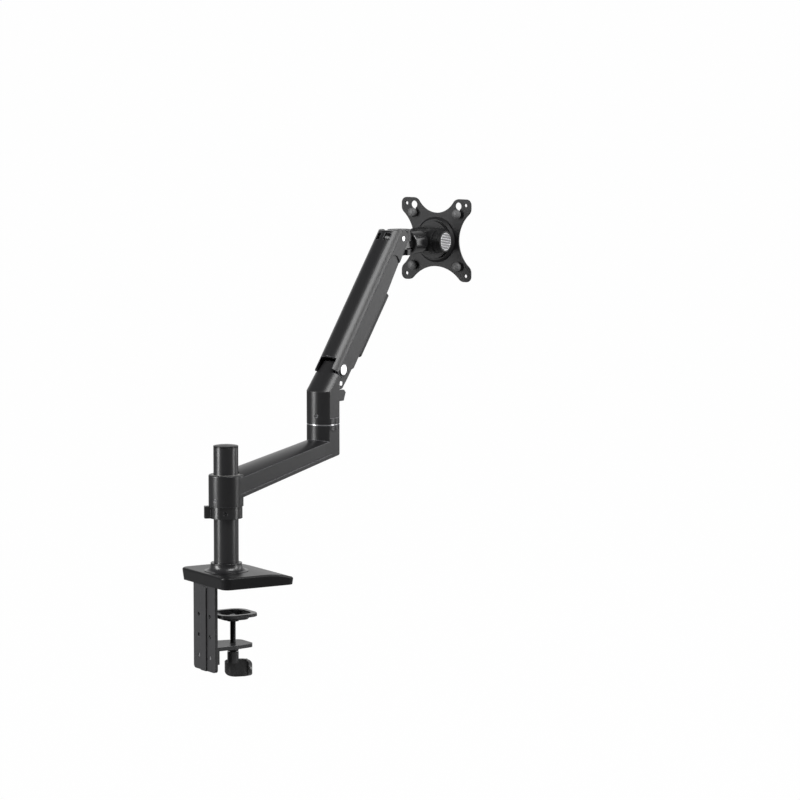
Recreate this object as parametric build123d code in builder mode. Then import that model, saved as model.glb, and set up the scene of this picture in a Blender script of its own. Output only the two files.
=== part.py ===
from math import atan2, cos, degrees, hypot, radians, sin, sqrt
import os

from build123d import *

os.makedirs("parts", exist_ok=True)

# Desk-clamp monitor arm. Millimetres. The pole axis is Z, the desk top is z = 0,
# -Y is the user's side of the desk and +Y the rear edge where the clamp plate hangs.

# Clearances
run_gap = 0.05          # radial gap of a shaft that turns in its bush
seat_gap = 0.02         # radial gap of a pin or screw that is fixed in its hole
face_gap = 0.1          # gap between flat faces that slide on each other
swing_gap = 0.4         # gap between pieces that swing past each other

# Base
base_half_width = 62.0
base_rear = 38.0
base_side_reach = 69.5
base_nose_reach = 84.0
base_height = 17.0
base_wall = 3.0
base_draft = 8.0
base_rear_radius = 12.0
base_front_radius = 9.0
base_edge_round = 2.5
base_lift = 0.6           # the cover's lower edge stays off the desk
base_flat_front = -25.0   # the cover's top is level behind this line and falls away in front of it
base_fall_radius = 150.0
pad_thick = 2.0
pad_inset = 6.0
plate_thick = 4.0
lug_depth = 9.0
lug_width = 44.0
lug_clear = 1.0

# Pole
pole_radius = 16.55
pole_wall = 3.0
pole_top = 186.0
cap_rim = 2.0
cap_dome = 1.6
cap_plug = 10.0
socket_radius = 29.5
socket_neck = 20.9
socket_rim = 0.6
socket_lip = 2.2
socket_height = 11.0
socket_hollow = 2.4
pole_bolt_radius = 4.0
pole_bolt_head = 8.0
pole_plug_height = 18.0

# Desk clamp
clamp_width = 58.5
clamp_thick = 4.2
clamp_face = 29.8
clamp_bottom = -114.5
clamp_corner = 5.0
clamp_rib_width = 15.0
clamp_rib_proud = 2.2
clamp_hole_radius = 2.75
clamp_hole_columns = 30.0
clamp_hole_rows = (-40.4, -68.0, -95.7)
lug_screw_height = 9.0
screw_radius = 2.5
screw_head_radius = 4.6
screw_head_height = 2.4
lug_head_height = 1.3
screw_end_back = 0.6
bracket_width = 50.0
bracket_thick = 5.0
bracket_foot = -104.0
bracket_top = -81.0
bracket_reach = 31.5
bracket_nose_width = 38.0
bracket_fold_radius = 3.0
rod_radius = 4.0
rod_forward = 9.5
nut_radius = 7.5
nut_height = 6.0
jaw_gap = 40.0
jaw_size = 57.0
jaw_corner = 18.0
jaw_depth = 7.0
jaw_wall = 2.5
jaw_rim = 7.0
jaw_flare = 40.0
jaw_pad = 1.5
jaw_boss_radius = 9.0
knob_sleeve_radius = 7.65
knob_sleeve_top = -93.0
knob_sleeve_height = 15.0
knob_wing_half = 22.0
knob_wing_thick = 5.0
knob_wing_drop = 24.0
knob_wing_bow = 7.0
knob_turn = 12.0

# Stop collar on the pole
collar_height = 16.0
collar_radius = 21.8
collar_ear_reach = 29.0
collar_ear_width = 11.0

# Lower arm
arm_yaw = 24.35
lower_length = 224.5
sleeve_radius = 23.2
sleeve_bottom = 104.0
sleeve_height = 42.0
bush_wall = 1.6
bush_height = 12.0
beam_rise = 6.6
beam_depth = 31.0
beam_bottom_rise = 8.0
beam_end_half_width = 19.2
riser_radius = 22.5
riser_rise = 46.0
elbow_washer = 1.5
riser_collar = 7.0
beam_edge_round = 1.5
beam_crown_rise = 1.2      # the crown's ridge above the sleeve's top line
beam_crown_radius = 54.0
beam_groove_up = 5.0
beam_groove = 0.8
sleeve_rim_round = 1.6
cable_slot_half = 11.0
cable_slot_depth = 9.0
cable_slot_start = 48.0
cable_slot_end = 188.0
cable_cover_thick = 5.0
cable_cover_proud = 2.5
elbow_shaft_radius = 9.0
elbow_shaft_depth = 34.0
elbow_shaft_reach = 38.0
set_screw_radius = 2.5
set_screw_length = 7.0

# Elbow knuckle and gas-spring arm
knuckle_half_width = 19.6
crease_rise = 45.0
knuckle_rake = 45.8
knuckle_ledge = 8.0
throat_radius = 16.3
throat_drop = 17.6
throat_lip = 9.6
upper_length = 224.2
upper_tilt = 49.5
pivot_forward = 22.6
pivot_rise = 27.4
link_back = 2.9
link_drop = 19.0
shell_half_width = 19.4
shell_wall = 3.4
shell_crown_radius = 21.0
shell_shoulder = 9.0
shell_root_depth = 19.6
shell_waist_depth = 18.0
shell_tip_depth = 14.0
shell_root_round = 11.0
shell_tip_round = 12.0
shell_notch_half = 12.9
shell_notch_end = 6.0
shell_notch_gap = 1.4
shell_edge_round = 0.9
shell_top_cut = 11.8
shell_recess = 1.6
shell_recess_end = 28.0
shell_recess_top = 8.0
shell_window_length = 12.0
shell_window_width = 8.5
tongue_half_width = 12.3
tongue_slot_half = 7.4
pivot_radius = 5.0
pivot_cap_radius = 7.5
pivot_cap_height = 1.2
link_half_width = 15.6
link_wall = 2.4
link_floor_drop = 9.0
link_wall_rise = 3.5
link_lobe = 8.0
link_tip_lobe = 6.6
tip_pin_radius = 3.5
link_pin_radius = 3.1
link_floor_start = 16.0
link_floor_end = 196.0
link_cover_start = 41.0
link_cover_end = 148.0
link_cover_half = 14.0
link_cover_thick = 10.3
spring_crank = 10.5
spring_anchor_along = 183.0
spring_anchor_up = 6.0
spring_radius = 7.0
spring_rod_radius = 3.5
spring_length = 104.0
spring_pin_radius = 3.0
spring_eye_radius = 7.0
spring_eye_half = 5.0
spring_eye_play = 2.4

# Head
front_tongue_half = 11.5
front_tongue_top = 10.5
front_block_start = 14.0
front_top = 11.0
front_bottom = 24.5
front_gap_top = -4.7
front_gap_bottom = -16.5
front_link_round = 6.8
pan_forward = 18.0
pan_ear_radius = 17.0
pan_tongue_radius = 10.5
pan_web = 7.0
pan_washer = 0.8
pan_pin_radius = 4.5
pan_head_radius = 8.5
pan_head_height = 2.5
tilt_forward = 84.0
tilt_drop = 8.883
neck_half_width = 17.5
neck_edge_round = 2.4
neck_half_height = 16.3
barrel_radius = 17.0
barrel_half = 11.5
ear_outer = 20.5
tilt_bolt_radius = 5.0
tilt_collar_radius = 15.5
tilt_collar_thick = 14.0
tilt_collar_groove = 1.2
tilt_cap_radius = 12.7
tilt_cap_thick = 4.5
tilt_cap_proud = 0.3
tilt_cap_ribs = 9
tilt_cap_rib_depth = 0.7
plate_forward = 28.4
plate_drop = 0.2
vesa_thick = 2.4
vesa_half = 58.5
vesa_waist = 38.0
vesa_top_mouth = 32.0
vesa_side_mouth = 40.0
vesa_foot_mouth = 42.0
vesa_lobe_round = 11.0
vesa_corner = 8.0
vesa_wide = 100.0
vesa_narrow = 75.0
vesa_hole_radius = 2.5
key_hole_radius = 5.4
key_hole_rise = 11.0
hub_radius = 26.75
hub_thick = 5.0
ring_radius = 32.0
ring_thick = 5.0
hub_bore_radius = 9.0
hub_retainer_radius = 12.5
hub_retainer_thick = 1.6
thumb_radius = 6.5
thumb_height = 6.6
thumb_stand = 2.6
thumb_neck_radius = 4.2
thumb_stud_radius = 2.0
thumb_stud_reach = 7.0
thumb_undercut = 0.4
thumb_shank_radius = 1.6

# Directions of the arm's vertical plane
arm_dir = Vector(sin(radians(arm_yaw)), -cos(radians(arm_yaw)), 0)
side_dir = Vector(-cos(radians(arm_yaw)), -sin(radians(arm_yaw)), 0)
up_dir = Vector(0, 0, 1)


def place(along, height, across=0.0):
    return arm_dir * along + side_dir * across + up_dir * height


def side_plane(along, height, tilt=0.0, across=0.0):
    forward = arm_dir * cos(radians(tilt)) + up_dir * sin(radians(tilt))
    return Plane(place(along, height, across), x_dir=forward, z_dir=side_dir)


def level_plane(along, height):
    return Plane(place(along, height), x_dir=arm_dir, z_dir=up_dir)


def facing_plane(along, height, across=0.0):
    return Plane(place(along, height, across), x_dir=side_dir, z_dir=-arm_dir)


def save(part, name):
    part.label = name
    export_step(part, f"parts/{name}.step")


beam_root_top = sleeve_bottom + sleeve_height
beam_root_bottom = beam_root_top - beam_depth
elbow_along = lower_length
elbow_height = beam_root_top + riser_rise
knuckle_crease = elbow_height + crease_rise
throat_height = knuckle_crease - throat_drop
pivot_height = knuckle_crease + pivot_rise
pivot_along = elbow_along + pivot_forward
tip_along = pivot_along + upper_length * cos(radians(upper_tilt))
tip_height = pivot_height + upper_length * sin(radians(upper_tilt))
link_along = pivot_along - link_back
link_height = pivot_height - link_drop
pan_along = tip_along + pan_forward
tilt_along = tip_along + tilt_forward
tilt_height = tip_height - tilt_drop
plate_along = tilt_along + plate_forward
plate_height = tilt_height - plate_drop


# Base: pad, steel plate, cover
def base_outline(inset, rear):
    half = base_half_width - inset
    side = inset - base_side_reach
    nose = inset - base_nose_reach
    with BuildSketch() as outline:
        with BuildLine():
            Polyline((-half, side), (-half, rear), (half, rear), (half, side))
            ThreePointArc((half, side), (0, nose), (-half, side))
        make_face()
        corners = outline.vertices().group_by(Axis.Y)
        fillet(corners[-1], base_rear_radius - inset)
        fillet(outline.vertices().group_by(Axis.Y)[0], base_front_radius)
    return outline.sketch


plate_top = pad_thick + plate_thick
lug_top = base_height - base_wall - lug_clear

with BuildPart() as base_pad:
    with BuildSketch():
        add(base_outline(pad_inset, clamp_face))
    extrude(amount=pad_thick)
save(base_pad.part, "base_pad")

with BuildPart() as base_plate:
    with BuildSketch(Plane.XY.offset(pad_thick)):
        add(base_outline(pad_inset, clamp_face))
    extrude(amount=plate_thick)
    with BuildSketch(Plane.XY.offset(pad_thick)):
        with Locations((0, clamp_face - lug_depth / 2)):
            Rectangle(lug_width, lug_depth)
    extrude(amount=lug_top - pad_thick)
    with Locations((0, 0, pad_thick)):
        Hole(pole_bolt_radius + seat_gap)
    with BuildSketch(Plane.XY.offset(pad_thick)):
        Circle(pole_bolt_head + seat_gap)
    extrude(amount=plate_thick / 2, mode=Mode.SUBTRACT)
    with Locations(Plane((0, clamp_face, lug_screw_height), x_dir=(-1, 0, 0), z_dir=(0, 1, 0))):
        with GridLocations(clamp_hole_columns, 0, 2, 1):
            Hole(screw_radius + seat_gap, depth=lug_depth - lug_clear)
save(base_plate.part, "base_plate")

rear_face = clamp_face + clamp_thick
lug_screw_plane = Plane((0, rear_face, lug_screw_height), x_dir=(-1, 0, 0), z_dir=(0, 1, 0))
base_hollow_half = base_half_width - pad_inset - base_rear_radius
cover_foot = base_lift
cover_rise = base_height - cover_foot
cover_inset = cover_rise * sin(radians(base_draft)) / cos(radians(base_draft))
with BuildPart() as base_cover:
    with BuildSketch(Plane.XY.offset(cover_foot)):
        add(base_outline(cover_inset, base_rear - cover_inset))
    extrude(amount=cover_rise, taper=-base_draft)
    with BuildSketch(Plane.YZ):
        with Locations((base_flat_front, base_height - base_fall_radius)):
            Circle(base_fall_radius)
        with Locations((base_flat_front + base_fall_radius, base_height - base_fall_radius)):
            Rectangle(2 * base_fall_radius, 2 * base_fall_radius)
    extrude(amount=2 * base_half_width, both=True, mode=Mode.INTERSECT)
    top_faces = [face for face in base_cover.faces() if face.normal_at().Z > 0.5]
    top_edges = [edge for face in top_faces for edge in face.edges()]
    fillet([edge for edge in top_edges if sum(edge.is_same(other) for other in top_edges) == 1], base_edge_round)
    with BuildSketch(Plane.XY):
        add(base_outline(pad_inset - swing_gap, clamp_face))
    extrude(amount=plate_top + swing_gap, mode=Mode.SUBTRACT)
    with BuildSketch(Plane.XY):
        with Locations((0, (base_flat_front + clamp_face - base_wall) / 2)):
            Rectangle(2 * base_hollow_half, clamp_face - base_wall - base_flat_front)
        with Locations((0, clamp_face)):
            Rectangle(clamp_width + 2 * swing_gap, 2 * (clamp_thick + swing_gap))
    extrude(amount=base_height - base_wall, mode=Mode.SUBTRACT)
    with BuildSketch(lug_screw_plane):
        with GridLocations(clamp_hole_columns, 0, 2, 1):
            Circle(screw_head_radius + swing_gap)
    extrude(amount=lug_head_height + face_gap, mode=Mode.SUBTRACT)
    Hole(pole_radius + swing_gap)
save(base_cover.part, "base_cover")

# Pole, its socket ring, cap, plug and bolt
with BuildPart() as pole_socket:
    inner = pole_radius + seat_gap
    with BuildSketch(Plane.XZ):
        with BuildLine():
            Polyline(
                (socket_neck, base_height + socket_height - socket_lip),
                (socket_neck, base_height + socket_height),
                (inner, base_height + socket_height),
                (inner, base_height),
                (socket_radius, base_height),
                (socket_radius, base_height + socket_rim),
            )
            SagittaArc(
                (socket_radius, base_height + socket_rim),
                (socket_neck, base_height + socket_height - socket_lip),
                socket_hollow,
            )
        make_face()
    revolve(axis=Axis.Z)
save(pole_socket.part, "pole_socket")

with BuildPart() as pole:
    with BuildSketch(Plane.XY.offset(plate_top)):
        Circle(pole_radius)
        Circle(pole_radius - pole_wall, mode=Mode.SUBTRACT)
    extrude(amount=pole_top - cap_rim - cap_dome - plate_top)
save(pole.part, "pole")

with BuildPart() as pole_cap:
    cap_base = pole_top - cap_rim - cap_dome
    dome_radius = (pole_radius**2 + cap_dome**2) / (2 * cap_dome)
    cap_shoulder = (
        pole_radius / 2,
        pole_top - dome_radius + sqrt(dome_radius**2 - pole_radius**2 / 4),
    )
    with BuildSketch(Plane.XZ):
        with BuildLine():
            Polyline(
                (0, cap_base - cap_plug),
                (pole_radius - pole_wall - seat_gap, cap_base - cap_plug),
                (pole_radius - pole_wall - seat_gap, cap_base),
                (pole_radius, cap_base),
                (pole_radius, cap_base + cap_rim),
            )
            ThreePointArc((pole_radius, cap_base + cap_rim), cap_shoulder, (0, pole_top))
            Line((0, pole_top), (0, cap_base - cap_plug))
        make_face()
    revolve(axis=Axis.Z)
save(pole_cap.part, "pole_cap")

with BuildPart() as pole_plug:
    with BuildSketch(Plane.XY.offset(plate_top)):
        Circle(pole_radius - pole_wall - seat_gap)
        Circle(pole_bolt_radius + seat_gap, mode=Mode.SUBTRACT)
    extrude(amount=pole_plug_height)
save(pole_plug.part, "pole_plug")

with BuildPart() as pole_bolt:
    with BuildSketch(Plane.XY.offset(pad_thick)):
        Circle(pole_bolt_head)
        RegularPolygon(pole_bolt_radius * 0.7, 6, mode=Mode.SUBTRACT)
    extrude(amount=plate_thick / 2)
    with BuildSketch(Plane.XY.offset(pad_thick + plate_thick / 2)):
        Circle(pole_bolt_radius)
    extrude(amount=plate_thick / 2 + pole_plug_height)
save(pole_bolt.part, "pole_bolt")

# Desk clamp: rear plate, its screws, bracket, nut
clamp_top = lug_top

with BuildPart() as clamp_plate:
    with BuildSketch(Plane((0, rear_face, 0), x_dir=(-1, 0, 0), z_dir=(0, 1, 0))) as clamp_outline:
        with Locations((0, (clamp_top + clamp_bottom) / 2)):
            Rectangle(clamp_width, clamp_top - clamp_bottom)
        fillet(clamp_outline.vertices().group_by(Axis.Y)[0], clamp_corner)
    extrude(amount=-clamp_thick)
    with BuildSketch(Plane((0, rear_face, 0), x_dir=(-1, 0, 0), z_dir=(0, 1, 0))):
        with Locations((0, (clamp_bottom - pad_thick) / 2)):
            Rectangle(clamp_rib_width, -clamp_bottom - pad_thick)
    extrude(amount=clamp_rib_proud)
    fillet(clamp_plate.edges().filter_by(Axis.Z).group_by(Axis.Y)[-1], clamp_rib_proud * 0.45)
    for row in (*clamp_hole_rows, lug_screw_height):
        with Locations(Plane((0, rear_face, row), x_dir=(-1, 0, 0), z_dir=(0, 1, 0))):
            with GridLocations(clamp_hole_columns, 0, 2, 1):
                Hole(clamp_hole_radius, depth=clamp_thick)
save(clamp_plate.part, "clamp_plate")


def cap_screws(plane, length, head_height):
    out = Axis(plane.origin, plane.z_dir)
    with BuildPart() as screws:
        with BuildSketch(plane):
            with GridLocations(clamp_hole_columns, 0, 2, 1):
                Circle(screw_head_radius)
                RegularPolygon(screw_radius * 0.7, 6, mode=Mode.SUBTRACT)
        extrude(amount=head_height)
        rims = [face.outer_wire().edges()[0] for face in screws.faces().group_by(out)[-1]]
        fillet(rims, head_height * 0.3)
        with BuildSketch(plane):
            with GridLocations(clamp_hole_columns, 0, 2, 1):
                Circle(screw_radius)
        extrude(amount=-length)
    return screws.part


save(cap_screws(lug_screw_plane, clamp_thick + lug_depth - 2 * lug_clear, lug_head_height), "base_screws")
bracket_face = clamp_face - bracket_thick
bracket_screw_plane = Plane((0, bracket_face, clamp_hole_rows[-1]), x_dir=(1, 0, 0), z_dir=(0, -1, 0))
bracket_screw_length = bracket_thick + clamp_thick - screw_end_back
save(cap_screws(bracket_screw_plane, bracket_screw_length, screw_head_height), "bracket_screws")

with BuildPart() as clamp_bracket:
    with BuildSketch(Plane.YZ):
        with BuildLine():
            Polyline(
                (clamp_face, bracket_foot),
                (clamp_face, bracket_top),
                (-bracket_reach, bracket_top),
                (-bracket_reach, bracket_top - bracket_thick),
                (clamp_face - bracket_thick, bracket_top - bracket_thick),
                (clamp_face - bracket_thick, bracket_foot),
                close=True,
            )
        make_face()
    extrude(amount=bracket_width / 2, both=True)
    fold = clamp_bracket.edges().filter_by(Axis.X)
    fillet(fold.group_by(Axis.Z)[-1].sort_by(Axis.Y)[-1], bracket_fold_radius)
    with BuildSketch(Plane.XY.offset(bracket_top)) as nose:
        with BuildLine():
            Polyline(
                (-bracket_width, clamp_face),
                (-bracket_width / 2, 0),
                (-bracket_nose_width / 2, -bracket_reach),
                (bracket_nose_width / 2, -bracket_reach),
                (bracket_width / 2, 0),
                (bracket_width, clamp_face),
                close=True,
            )
        make_face()
        fillet(nose.vertices().group_by(Axis.Y)[0], bracket_reach * 0.3)
    extrude(amount=clamp_bottom, mode=Mode.INTERSECT)
    with Locations((0, -rod_forward, bracket_top)):
        Hole(rod_radius + run_gap)
    with Locations(Plane((0, clamp_face, clamp_hole_rows[-1]), x_dir=(-1, 0, 0), z_dir=(0, 1, 0))):
        with GridLocations(clamp_hole_columns, 0, 2, 1):
            Hole(screw_radius + seat_gap)
save(clamp_bracket.part, "clamp_bracket")

nut_top = bracket_top - bracket_thick
with BuildPart() as clamp_nut:
    with BuildSketch(Plane.XY.offset(nut_top)):
        with Locations((0, -rod_forward)):
            RegularPolygon(nut_radius, 6)
            Circle(rod_radius + run_gap, mode=Mode.SUBTRACT)
    extrude(amount=-nut_height)
save(clamp_nut.part, "clamp_nut")

# Clamp screw, knob and jaw
rim_height = -jaw_gap
jaw_floor = rim_height - jaw_pad - jaw_depth
rod_top = jaw_floor + jaw_wall + 2.0

with BuildPart() as pressure_plate:
    with BuildSketch(Plane.XY.offset(rim_height - jaw_pad)):
        with Locations((0, -rod_forward)):
            RectangleRounded(jaw_size, jaw_size, jaw_corner)
    extrude(amount=-jaw_wall)
    with BuildSketch(Plane.XY.offset(rim_height - jaw_pad - jaw_wall)):
        with Locations((0, -rod_forward)):
            RectangleRounded(jaw_size - 2 * jaw_rim, jaw_size - 2 * jaw_rim, jaw_corner - jaw_rim / 2)
    extrude(amount=jaw_wall - jaw_depth, taper=jaw_flare)
    with BuildSketch(Plane.XY.offset(rim_height - jaw_pad)):
        with Locations((0, -rod_forward)):
            RectangleRounded(
                jaw_size - 2 * jaw_rim - 2 * jaw_wall,
                jaw_size - 2 * jaw_rim - 2 * jaw_wall,
                jaw_corner - jaw_rim / 2 - 1,
            )
    extrude(amount=jaw_wall - jaw_depth, taper=jaw_flare, mode=Mode.SUBTRACT)
    with Locations((0, -rod_forward, rim_height)):
        Hole(rod_radius + run_gap)
save(pressure_plate.part, "pressure_plate")

with BuildPart() as jaw_pads:
    with BuildSketch(Plane.XY.offset(rim_height - jaw_pad)):
        with Locations((0, -rod_forward)):
            RectangleRounded(jaw_size - 1, jaw_size - 1, jaw_corner - 0.5)
            RectangleRounded(
                jaw_size - 2 * jaw_rim,
                jaw_size - 2 * jaw_rim,
                jaw_corner - jaw_rim / 2,
                mode=Mode.SUBTRACT,
            )
    extrude(amount=jaw_pad)
save(jaw_pads.part, "jaw_pad")

shoulder_top = jaw_floor - face_gap
shoulder_height = 3.0
rod_bottom = knob_sleeve_top - knob_sleeve_height + 2.0
with BuildPart() as clamp_screw:
    with BuildSketch(Plane.XY.offset(rod_bottom)):
        with Locations((0, -rod_forward)):
            Circle(rod_radius)
    extrude(amount=rod_top - rod_bottom)
    with BuildSketch(Plane.XY.offset(shoulder_top)):
        with Locations((0, -rod_forward)):
            Circle(jaw_boss_radius)
    extrude(amount=-shoulder_height, taper=20)
save(clamp_screw.part, "clamp_screw")

with BuildPart() as screw_clip:
    with BuildSketch(Plane.XY.offset(jaw_floor + jaw_wall + face_gap)):
        with Locations((0, -rod_forward)):
            Circle(rod_radius * 1.75)
            Circle(rod_radius + seat_gap, mode=Mode.SUBTRACT)
    extrude(amount=1.2)
save(screw_clip.part, "screw_clip")

with BuildPart() as clamp_knob:
    wing_top = knob_sleeve_top - knob_sleeve_height + 4.0
    with BuildSketch(Plane.XY.offset(knob_sleeve_top)):
        with Locations((0, -rod_forward)):
            Circle(knob_sleeve_radius)
    extrude(amount=-knob_sleeve_height)
    with BuildSketch(Plane((0, -rod_forward, wing_top))):
        for turn in (1, -1):
            bend = ThreePointArc(
                (0, 0),
                (turn * knob_wing_half * 0.5, turn * knob_wing_bow),
                (turn * knob_wing_half, turn * knob_wing_bow * 0.2),
                mode=Mode.PRIVATE,
            )
            SlotArc(bend, knob_wing_thick)
    extrude(amount=-knob_wing_drop)
    with BuildSketch(Plane((0, -rod_forward, wing_top), x_dir=(1, 0, 0), z_dir=(0, -1, 0))):
        with Locations((0, -knob_wing_drop / 2)):
            Ellipse(knob_wing_half + knob_wing_thick / 2, knob_wing_drop / 2)
        with Locations((0, knob_sleeve_height / 2)):
            Rectangle(2 * knob_sleeve_radius + 1, knob_sleeve_height + knob_wing_drop)
    extrude(amount=3 * knob_wing_bow, both=True, mode=Mode.INTERSECT)
    with BuildSketch(Plane.XY.offset(knob_sleeve_top)):
        with Locations((0, -rod_forward)):
            Circle(rod_radius + seat_gap)
    extrude(amount=rod_bottom - knob_sleeve_top - face_gap, mode=Mode.SUBTRACT)
save(clamp_knob.part.rotate(Axis((0, -rod_forward, 0), (0, 0, 1)), knob_turn), "clamp_knob")

# Stop collar: a ring with a flat for its set screw and a cable hook at one side
collar_top = sleeve_bottom - face_gap
collar_bottom = collar_top - collar_height
hook_turn = 66.0
facet_turn = 148.0
facet_depth = 1.2


def around(turn, height):
    out = Vector(cos(radians(turn)), sin(radians(turn)), 0)
    return Plane((0, 0, height), x_dir=out.cross(up_dir) * -1, z_dir=out)


with BuildPart() as stop_collar:
    with BuildSketch(Plane.XY.offset(collar_bottom)):
        Circle(collar_radius)
        with Locations(Rotation(0, 0, hook_turn)):
            with Locations((collar_ear_reach / 2, 0)):
                Rectangle(collar_ear_reach, collar_ear_width)
        Circle(pole_radius + run_gap, mode=Mode.SUBTRACT)
    extrude(amount=collar_height)
    collar_mid = collar_bottom + collar_height / 2
    facet_plane = around(facet_turn, collar_mid).offset(collar_radius - facet_depth)
    with BuildSketch(facet_plane):
        Rectangle(2 * collar_radius, 2 * collar_height)
    extrude(amount=2 * facet_depth, mode=Mode.SUBTRACT)
    with BuildSketch(facet_plane):
        Circle(set_screw_radius + seat_gap)
    extrude(amount=pole_radius - collar_radius, mode=Mode.SUBTRACT)
    with BuildSketch(Plane.XY.offset(collar_bottom)):
        with Locations(Rotation(0, 0, hook_turn)):
            with Locations((collar_ear_reach - collar_ear_width * 0.35, 0)):
                Circle(collar_ear_width * 0.26)
                with Locations((collar_ear_width * 0.3, 0)):
                    Rectangle(collar_ear_width * 0.6, collar_ear_width * 0.3)
    extrude(amount=collar_height, mode=Mode.SUBTRACT)
save(stop_collar.part, "stop_collar")


def set_screw(plane, length):
    with BuildPart() as screw:
        with BuildSketch(plane):
            Circle(set_screw_radius)
        extrude(amount=-length)
        with BuildSketch(plane):
            RegularPolygon(set_screw_radius * 0.55, 6)
        extrude(amount=-length * 0.4, mode=Mode.SUBTRACT)
    return screw.part


collar_screw_length = collar_radius - facet_depth - pole_radius - run_gap
save(set_screw(facet_plane, collar_screw_length), "collar_screw")

# Lower arm casting
sleeve_top = sleeve_bottom + sleeve_height
sleeve_bore = pole_radius + run_gap + bush_wall
riser_top = elbow_height - elbow_washer
beam_end = elbow_along + riser_radius
top_slope = sin(radians(beam_rise)) / cos(radians(beam_rise))
bottom_slope = sin(radians(beam_bottom_rise)) / cos(radians(beam_bottom_rise))
bottom_forward = arm_dir * cos(radians(beam_bottom_rise)) + up_dir * sin(radians(beam_bottom_rise))
bottom_out = arm_dir * sin(radians(beam_bottom_rise)) - up_dir * cos(radians(beam_bottom_rise))
bottom_plane = Plane(place(0, beam_root_bottom), x_dir=bottom_forward, z_dir=bottom_out)
slot_length = cable_slot_end - cable_slot_start
slot_mid = (cable_slot_end + cable_slot_start) / 2
sleeve_screw_height = sleeve_bottom + 9.0
sleeve_screw_plane = around(facet_turn - 38.0, sleeve_screw_height).offset(sleeve_radius - 1.0)

ridge_root = beam_root_top + beam_crown_rise
ridge_dir = arm_dir * cos(radians(beam_rise)) + up_dir * sin(radians(beam_rise))
ridge_plane = Plane(place(0, ridge_root), x_dir=-side_dir, z_dir=ridge_dir)
groove_low = beam_root_bottom + beam_groove_up

with BuildPart() as sleeve_post:
    with BuildSketch(level_plane(0, sleeve_bottom)):
        Circle(sleeve_radius)
    extrude(amount=sleeve_height)
    fillet(sleeve_post.faces().sort_by(Axis.Z)[-1].edges(), sleeve_rim_round)

with BuildPart() as beam_grooves:
    with BuildSketch(side_plane(0, 0)):
        with BuildLine():
            Polyline(
                (0, groove_low),
                (beam_end, groove_low + bottom_slope * beam_end),
                (beam_end, groove_low + bottom_slope * beam_end + beam_groove),
                (0, groove_low + beam_groove),
                close=True,
            )
        make_face()
    extrude(amount=2 * sleeve_radius, both=True)
    with BuildSketch(level_plane(0, sleeve_bottom)):
        with BuildLine():
            Polyline(
                (0, sleeve_radius - beam_groove),
                (elbow_along - riser_radius, beam_end_half_width - beam_groove),
                (2 * elbow_along, beam_end_half_width - beam_groove),
                (2 * elbow_along, beam_groove - beam_end_half_width),
                (elbow_along - riser_radius, beam_groove - beam_end_half_width),
                (0, beam_groove - sleeve_radius),
                close=True,
            )
        make_face()
    extrude(amount=elbow_height, mode=Mode.SUBTRACT)

with BuildPart() as lower_arm:
    with BuildSketch(side_plane(0, 0)):
        with BuildLine():
            Polyline(
                (0, beam_root_bottom),
                (0, ridge_root),
                (beam_end, ridge_root + top_slope * beam_end),
                (beam_end, beam_root_bottom + bottom_slope * beam_end),
                close=True,
            )
        make_face()
    extrude(amount=2 * sleeve_radius, both=True)
    with BuildSketch(level_plane(0, sleeve_bottom)):
        Circle(sleeve_radius)
        with BuildLine():
            Polyline(
                (0, sleeve_radius),
                (elbow_along - riser_radius, beam_end_half_width),
                (elbow_along, beam_end_half_width),
                (elbow_along, -beam_end_half_width),
                (elbow_along - riser_radius, -beam_end_half_width),
                (0, -sleeve_radius),
                close=True,
            )
        make_face()
        with BuildLine():
            end_run = sqrt(riser_radius**2 - beam_end_half_width**2)
            Polyline(
                (elbow_along + end_run, -beam_end_half_width),
                (elbow_along, -beam_end_half_width),
                (elbow_along, beam_end_half_width),
                (elbow_along + end_run, beam_end_half_width),
            )
            ThreePointArc(
                (elbow_along + end_run, beam_end_half_width),
                (elbow_along + riser_radius, 0),
                (elbow_along + end_run, -beam_end_half_width),
            )
        make_face()
    extrude(amount=elbow_height, mode=Mode.INTERSECT)
    with BuildSketch(ridge_plane):
        with Locations((0, -beam_crown_radius)):
            Circle(beam_crown_radius)
    extrude(amount=2 * beam_end, both=True, mode=Mode.INTERSECT)
    fillet(lower_arm.faces().sort_by(Axis.Z)[-1].edges(), beam_edge_round)
    add(beam_grooves.part, mode=Mode.SUBTRACT)
    add(sleeve_post.part)
    riser_bottom = beam_root_bottom + bottom_slope * beam_end + beam_edge_round
    with BuildSketch(level_plane(elbow_along, riser_bottom)):
        with BuildLine():
            CenterArc((0, 0), riser_radius, 0, 360)
        make_face()
        Rectangle(2 * riser_radius, 2 * beam_end_half_width, mode=Mode.INTERSECT)
    extrude(amount=riser_top - riser_bottom)
    with BuildSketch(level_plane(elbow_along, riser_top)):
        Circle(riser_radius)
    extrude(amount=-riser_collar)
    with BuildSketch(bottom_plane):
        with Locations((slot_mid, 0)):
            SlotOverall(slot_length, 2 * cable_slot_half)
    extrude(amount=-cable_slot_depth, mode=Mode.SUBTRACT)
    with BuildSketch(level_plane(0, sleeve_bottom)):
        Circle(sleeve_bore + seat_gap)
    extrude(amount=2 * sleeve_height, mode=Mode.SUBTRACT)
    with BuildSketch(level_plane(elbow_along, riser_top)):
        Circle(elbow_shaft_radius + seat_gap)
    extrude(amount=-(elbow_shaft_depth - elbow_washer + face_gap), mode=Mode.SUBTRACT)
    with BuildSketch(sleeve_screw_plane):
        Circle(set_screw_radius + seat_gap)
    extrude(amount=sleeve_bore - sleeve_radius, both=True, mode=Mode.SUBTRACT)
save(lower_arm.part, "lower_arm")

save(set_screw(sleeve_screw_plane, sleeve_radius - 1.0 - sleeve_bore - 0.5), "sleeve_screw")

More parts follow.
